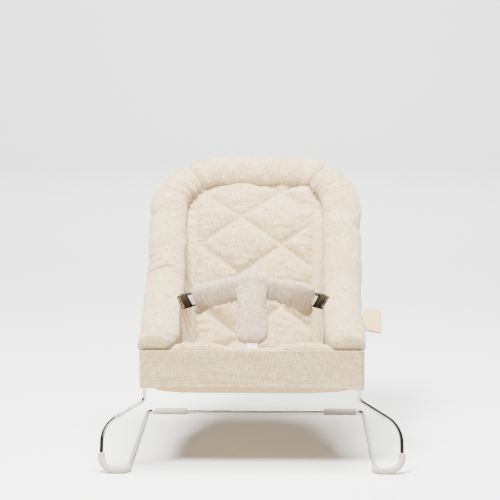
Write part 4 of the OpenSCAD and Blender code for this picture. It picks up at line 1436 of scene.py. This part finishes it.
    def buckle(self, side: str) -> None:
        """Makes a side-release buckle: the CAD socket and plug with moulded, rounded edges."""
        for part, body in (("socket", "seat"), ("plug", f"plug_{side}")):
            node = f"buckle_{part}_{side}"
            made = bpy.data.objects.new(f"moulded_{part}_{side}", FRAME["nodes"][node].data.copy())
            bpy.context.scene.collection.objects.link(made)
            mesh = made.data
            work = bmesh.new()
            work.from_mesh(mesh)
            bmesh.ops.remove_doubles(work, verts=work.verts, dist=0.01 * MM)
            bmesh.ops.dissolve_limit(work, angle_limit=math.radians(2), verts=work.verts, edges=work.edges)
            bmesh.ops.recalc_face_normals(work, faces=work.faces)
            work.to_mesh(mesh)
            work.free()
            mesh.materials.clear()
            mesh.materials.append(finish_of(Stuff.BUCKLE))
            bevel = made.modifiers.new("edges", "BEVEL")
            bevel.width, bevel.segments, bevel.limit_method = 0.7 * MM, 3, "ANGLE"
            bevel.use_clamp_overlap = True
            mesh.polygons.foreach_set("use_smooth", [False] * len(mesh.polygons))
            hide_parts(node)
            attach(made, body)

    def strip(self, name: str, line: np.ndarray, across: np.ndarray, wide: float, thick: float,
              stuff: Stuff) -> bpy.types.Object:
        """A flat strap along a line.

        Args:
            name: The piece's name.
            line: The strap's middle line.
            across: The direction of its width.
            wide: Its width.
            thick: Its thickness.
            stuff: Its finish.

        Returns:
            The object.
        """
        t = np.linspace(-0.5, 0.5, 15)
        p = line[:, None, :] + across[None, None, :] * (t * wide)[None, :, None]
        run = np.concatenate([[0], np.cumsum(np.linalg.norm(np.diff(line, axis=0), axis=1))])
        uv = np.stack(np.broadcast_arrays((t * wide)[None, :], run[:, None]), -1)
        edge = np.minimum(1, (0.5 - np.abs(t)) * wide / (0.8 * MM) + 0.45)
        return slab(name, p, uv, thick * edge[None, :] * np.ones((len(line), 1)), stuff)

    def webbing(self) -> None:
        """Makes the arm straps in the plugs' windows, the waist straps and the crotch strap."""
        wide, thick = 19.5 * MM, 1.6 * MM
        for side in SIDES:
            mouth, out = self.mouth(side)
            up = self.strap_up(side)
            face = unit(np.cross(out, up))
            face *= -1 if face[1] > 0 else 1
            stops = [(-38, 0.5), (-25, 3.4), (-12, 4.4), (-5.4, 4.2), (-4.2, 0.6)]
            line = rounded([mouth + out * a * MM + face * b * MM for a, b in stops],
                           [0, 6 * MM, 5 * MM, 1 * MM, 0])
            arm = self.strip(f"arm_webbing_{side}", line, up, wide, thick, Stuff.WEBBING)
            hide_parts(f"arm_strap_{side}")
            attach(arm, f"plug_{side}")
            sign = 1 if side == "right" else -1
            anchor = mouth + out * 42 * MM
            anchor[0] = sign * (self.profile.bolster_x - 33 * MM)
            line = rounded([mouth + out * 21 * MM, mouth + out * 28 * MM, anchor + [0, 4 * MM, -3 * MM]],
                           [0, 4 * MM, 0])
            waist = self.strip(f"waist_webbing_{side}", line, up, wide, thick, Stuff.WEBBING)
            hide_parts(f"waist_strap_{side}")
            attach(waist, "seat")
        prof = self.profile
        band_y = prof.facing_hi[1]
        line = rounded([self.foot + [0, 2 * MM, 14 * MM], self.foot + [0, -3 * MM, -5 * MM],
                        [0, band_y + 2 * MM, prof.band_hi[2] + 2 * MM],
                        [0, band_y - 3 * MM, prof.band_hi[2] - 14 * MM]],
                       [0, 8 * MM, 6 * MM, 0])
        crotch = self.strip("crotch_webbing", line, np.array([1.0, 0, 0]), 20 * MM, thick, Stuff.WEBBING)
        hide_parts("crotch_strap")
        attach(crotch, "seat")


@dataclass
class Label:
    """A blank folded cotton tape sewn into the outer seam of the left-hand bolster."""

    profile: Profile
    wide: float = 33 * MM
    tall: float = 46 * MM
    lean: float = math.radians(35)

    def build(self) -> None:
        """Makes the folded loop: two plies that meet in a soft fold."""
        lo, hi = (np.array(c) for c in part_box("label_tag"))
        centre = (lo + hi) / 2
        up = np.array([0, math.sin(self.lean), math.cos(self.lean)])
        face = np.cross([1, 0, 0], up)
        rows, cols = 26, 44
        t = np.linspace(0, 1, cols)
        ply = np.abs(t - 0.5) * 2
        reach = (1 - ply) * self.wide
        puff = 0.9 * MM + 1.6 * MM * np.sin(math.pi * (1 - ply)) ** 0.7
        gap = np.where(t < 0.5, -1, 1) * puff * ply ** 0.15
        v = np.linspace(-0.5, 0.5, rows)
        p = np.zeros((rows, cols, 3))
        droop = (reach[None, :] / self.wide) * 7 * MM
        p[..., 0] = lo[0] - 1 * MM + reach[None, :]
        lift = v[:, None] * self.tall - droop
        p += up * lift[..., None] + face * (gap[None, :, None])
        p[..., 1] += centre[1]
        p[..., 2] += centre[2]
        curl = 3 * MM * (reach[None, :] / self.wide) ** 2
        p[..., 1] += curl * (0.6 + v[:, None])
        uv = np.stack(np.broadcast_arrays((t * 2 * self.wide)[None, :], (v * self.tall)[:, None]), -1)
        made = slab("folded_label", p, uv, 0.7 * MM, Stuff.TAPE)
        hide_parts("label_tag")
        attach(made, "seat")
        LOG.info("folded_label: blank")


@dataclass
class Base:
    """The chrome wire base with its rubber sleeves."""

    profile: Profile
    depth: float = 522 * MM
    front_half: float = 223.5 * MM
    rear_half: float = 220 * MM
    loop_half: float = 271.5 * MM
    riser_half: float = 195.5 * MM
    wire_r: float = 3.5 * MM
    lean: float = math.radians(23.6)
    loop_slope: float = math.radians(32.4)
    corner: float = 81 * MM
    wire_end: float = 27 * MM
    mouth: float = 31 * MM
    sleeve_r: float = 6.25 * MM

    def build(self) -> None:
        """Makes the wires, then the sleeves."""
        self.wire_z = self.sleeve_r - 0.25 * MM
        self.front_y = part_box("base_rail")[1].y - self.wire_r - self.depth
        floor = self.base_line()
        rail = bar("base_wire", floor, self.wire_r, Stuff.CHROME)
        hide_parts("base_rail")
        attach(rail, "base")
        for side in SIDES:
            self.spring(side)
            self.foot(side)
            self.rear(side)
        LOG.info("base: wires and sleeves")

    def loop_at(self, x: float, s: float) -> np.ndarray:
        """A point in the leaning plane of a spring loop."""
        return np.array([x, self.front_y + s * math.sin(self.lean), self.wire_z + s * math.cos(self.lean)])

    def base_line(self) -> np.ndarray:
        """The floor wire's centre line, from one foot round the back to the other."""
        back_y = self.front_y + self.depth
        half = [self.loop_at(self.loop_half, self.wire_end), self.loop_at(self.loop_half, 0),
                np.array([self.front_half, self.front_y, self.wire_z]),
                np.array([self.rear_half, back_y, self.wire_z])]
        whole = half + [p * [-1, 1, 1] for p in half[::-1]]
        return rounded(whole, [0, 25 * MM, 16 * MM, 15 * MM, 15 * MM, 16 * MM, 25 * MM, 0])

    def spring(self, side: str) -> None:
        """Makes one spring loop with its riser and seat rail, up to the recline hub."""
        sign = 1 if side == "right" else -1
        prof = self.profile
        rise = (self.loop_half - self.riser_half) * math.tan(self.loop_slope)
        hub = np.array([153 * MM, prof.hub[1], prof.hub[2]])
        bend = np.array([self.riser_half, prof.riser[1], prof.riser[2]])
        end = hub + unit(bend - hub) * 17 * MM
        points = [self.loop_at(self.loop_half, self.wire_end + 0.6 * MM),
                  self.loop_at(self.loop_half, self.corner),
                  self.loop_at(self.riser_half, self.corner + rise), bend, end]
        line = rounded(points, [0, 55 * MM, 10 * MM, 26 * MM, 0], 20) * [sign, 1, 1]
        made = bar(f"spring_wire_bar_{side}", line, self.wire_r, Stuff.CHROME)
        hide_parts(f"spring_wire_{side}")
        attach(made, "seat")

    def foot(self, side: str) -> None:
        """Makes a foot sleeve: a rubber tube with a flat tread and a loose rolled lip at its mouth."""
        sign = 1 if side == "right" else -1
        line = rounded([self.loop_at(self.loop_half, self.mouth), self.loop_at(self.loop_half, 0),
                        np.array([self.front_half, self.front_y, self.wire_z]),
                        np.array([self.front_half, self.front_y + 26 * MM, self.wire_z])],
                       [0, 25 * MM, 16 * MM, 0], 16) * [sign, 1, 1]
        self.sleeve(f"foot_sleeve_rubber_{side}", line, f"foot_sleeve_{side}", True)

    def rear(self, side: str) -> None:
        """Makes a rear sleeve on the crossbar."""
        lo, hi = (np.array(c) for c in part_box(f"rear_sleeve_{side}"))
        y = self.front_y + self.depth
        line = np.array([[lo[0], y, self.wire_z], [hi[0], y, self.wire_z]])
        line = np.array([line[0] + (line[1] - line[0]) * t for t in np.linspace(0, 1, 12)])
        self.sleeve(f"rear_sleeve_rubber_{side}", line, f"rear_sleeve_{side}", False)

    def sleeve(self, name: str, line: np.ndarray, node: str, lip: bool) -> None:
        """Makes a rubber sleeve with a wall round the wire.

        Args:
            name: The piece's name.
            line: Its centre line.
            node: The CAD node that it stands for.
            lip: Whether its first end is a loose lip.
        """
        route = Route(line, (0, 1, 0.01) if lip else (0, 0, 1))
        s = np.concatenate([[0, 0.0003, 0.001], np.linspace(0.003, route.length - 0.003, 60),
                            [route.length - 0.001, route.length - 0.0003, route.length]])
        angle = np.linspace(0, 2 * math.pi, 32, endpoint=False)
        edge = np.minimum(s, route.length - s)
        outer = self.sleeve_r - 0.6 * MM * np.clip(1 - edge / (1.0 * MM), 0, 1) ** 2
        inner = np.full_like(s, self.wire_r + 0.08 * MM)
        if lip:
            inner = inner + 0.7 * MM * np.clip(1 - s / (5 * MM), 0, 1)
            outer = outer + 0.35 * MM * np.exp(-((s - 2 * MM) / (1.6 * MM)) ** 2)
        pos, side, up = route.at(s)
        rings = [pos[:, None] + (side[:, None] * np.cos(angle)[None, :, None]
                                 + up[:, None] * np.sin(angle)[None, :, None]) * r[:, None, None]
                 for r in (outer, inner)]
        for ring in rings:
            ring[..., 2] = np.maximum(ring[..., 2], 0.0)
        rows, cols = rings[0].shape[:2]
        total = rows * cols
        faces = grid_faces(rows, cols, ring=True) + grid_faces(rows, cols, start=total, ring=True, flip=True)
        for j in range(cols):
            k = (j + 1) % cols
            faces.append((j, j + total, k + total, k))
            a, b = (rows - 1) * cols + j, (rows - 1) * cols + k
            faces.append((a, b, b + total, a + total))
        made = make_mesh(name, np.concatenate([r.reshape(-1, 3) for r in rings]), faces, None, Stuff.RUBBER)
        turn_out(made)
        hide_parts(node)
        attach(made, "base")


def dress_hidden_parts() -> None:
    """Gives the CAD nodes that stay their real finishes."""
    kinds = {"spreader_rod": Stuff.ZINC, "backrest_hoop": Stuff.ZINC, "spreader_clamp": Stuff.NYLON,
             "hub_seat_half": Stuff.NYLON, "hub_back_half": Stuff.NYLON, "release_button": Stuff.NYLON,
             "lock_gear": Stuff.ZINC, "lock_spring": Stuff.CHROME, "pivot_rivet": Stuff.ZINC}
    for name, node in FRAME["nodes"].items():
        kind = name.removesuffix("_left").removesuffix("_right")
        if kind in kinds:
            node.data.materials.clear()
            node.data.materials.append(finish_of(kinds[kind]))
    for side in SIDES:
        shorten_spring(side)


def shorten_spring(side: str) -> None:
    """Gives a lock spring, which sits in the hub and is pushed by its gear, its own copy of its mesh.

    Args:
        side: "left" or "right".
    """
    name = f"lock_spring_{side}"
    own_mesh(FRAME["nodes"][name])


@dataclass
class Studio:
    """A pale floor that curves up into a pale wall, soft lamps and the camera."""

    place: tuple[float, float, float] = (0.0621, -4.2297, 0.9391)
    pitch: float = math.radians(7.655)
    yaw: float = math.radians(0.935)
    lens: float = 161.8

    def build(self) -> None:
        """Makes the floor, the lamps and the camera."""
        self.sweep()
        self.lamp("key", (-0.9, -1.5, 3.4), 1.1, 640)
        self.lamp("fill", (1.9, -6.0, 1.8), 2.4, 120)
        self.lamp("top", (0.3, 0.2, 3.2), 1.2, 430)
        self.lamp("wall", (0.0, 3.6, 3.4), 3.0, 560, (0.0, 7.0, 0.6))
        for side in (-1, 1):
            self.card(side)
        self.air()
        self.camera()

    def sweep(self) -> None:
        """The floor and wall in one sheet, as a photographer's paper roll hangs."""
        start, bend_r, top = 5.6, 1.4, 5.0
        flat = [(-7.0, 0.0), (start, 0.0)]
        bend = [(start + bend_r * math.sin(a), bend_r - bend_r * math.cos(a))
                for a in np.linspace(0, math.pi / 2, 14)[1:]]
        line = flat + bend + [(start + bend_r, top)]
        verts = np.array([(x, y, z) for y, z in line for x in (-9.0, 9.0)])
        faces = [(2 * i, 2 * i + 1, 2 * i + 3, 2 * i + 2) for i in range(len(line) - 1)]
        mesh = bpy.data.meshes.new("studio_floor")
        mesh.from_pydata(verts.tolist(), [], faces)
        mesh.polygons.foreach_set("use_smooth", [True] * len(faces))
        mesh.materials.append(Painted("studio_paper", "#d9d9d8").build())
        floor = bpy.data.objects.new("studio_floor", mesh)
        bpy.context.scene.collection.objects.link(floor)

    def card(self, side: int) -> None:
        """A black card beside the seat, which draws the dark line down each chrome wire."""
        x, front, back, top = side * 5.4, -5.0, 3.5, 3.4
        verts = [(x, front, 0.02), (x, back, 0.02), (x, back, top), (x, front, top)]
        mesh = bpy.data.meshes.new("black_card")
        mesh.from_pydata(verts, [], [(0, 1, 2, 3)])
        mesh.materials.append(Painted("black_card_paint", "#141414").build())
        made = bpy.data.objects.new("black_card", mesh)
        bpy.context.scene.collection.objects.link(made)

    def lamp(self, name: str, place: tuple[float, float, float], size: float, power: float,
             target: tuple[float, float, float] = (0.0, 0.0, 0.25)) -> None:
        """A soft square lamp that looks at a target, which is the seat unless another is named."""
        light = bpy.data.lights.new(name, "AREA")
        light.shape, light.size, light.energy = "SQUARE", size, power
        made = bpy.data.objects.new(name, light)
        made.location = place
        made.rotation_mode = "QUATERNION"
        made.rotation_quaternion = (Vector(target) - Vector(place)).to_track_quat("-Z", "Y")
        bpy.context.scene.collection.objects.link(made)

    def air(self) -> None:
        """The light that comes from all round, off pale walls."""
        world = bpy.data.worlds.new("studio_air")
        world.use_nodes = True
        world.node_tree.nodes["Background"].inputs["Color"].default_value = linear("#f6f6f6")
        world.node_tree.nodes["Background"].inputs["Strength"].default_value = 0.17
        bpy.context.scene.world = world

    def camera(self) -> None:
        """The camera, level, looking slightly down from in front."""
        lens = bpy.data.cameras.new("camera")
        lens.lens, lens.sensor_width = self.lens, 36.0
        lens.clip_start, lens.clip_end = 0.1, 50
        made = bpy.data.objects.new("camera", lens)
        ahead = Vector((-math.sin(self.yaw) * math.cos(self.pitch), math.cos(self.yaw) * math.cos(self.pitch),
                        -math.sin(self.pitch)))
        made.location = self.place
        made.rotation_mode = "QUATERNION"
        made.rotation_quaternion = ahead.to_track_quat("-Z", "Y")
        bpy.context.scene.collection.objects.link(made)
        bpy.context.scene.camera = made


def main() -> None:
    """Builds the studio and every sub-assembly."""
    logging.basicConfig(level=logging.INFO, format="%(name)s: %(message)s")
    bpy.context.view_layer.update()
    Studio().build()
    profile = Profile()
    Base(profile).build()
    Bolster(profile).build()
    quilt = Quilt(profile)
    quilt.build()
    sides = Sides(profile, quilt)
    for side in SIDES:
        sides.gusset(side)
    sides.lining()
    Band(profile).build()
    Harness(profile).build()
    Label(profile).build()
    dress_hidden_parts()
    bpy.context.view_layer.update()


with open("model.json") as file:
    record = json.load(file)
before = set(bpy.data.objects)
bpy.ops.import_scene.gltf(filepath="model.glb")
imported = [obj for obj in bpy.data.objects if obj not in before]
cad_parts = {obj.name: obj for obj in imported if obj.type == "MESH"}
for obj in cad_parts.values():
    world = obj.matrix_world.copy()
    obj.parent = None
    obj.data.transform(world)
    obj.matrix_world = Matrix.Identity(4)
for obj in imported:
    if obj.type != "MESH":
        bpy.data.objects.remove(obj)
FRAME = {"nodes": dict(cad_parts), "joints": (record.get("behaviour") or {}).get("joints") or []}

if __name__ == "__main__":
    main()
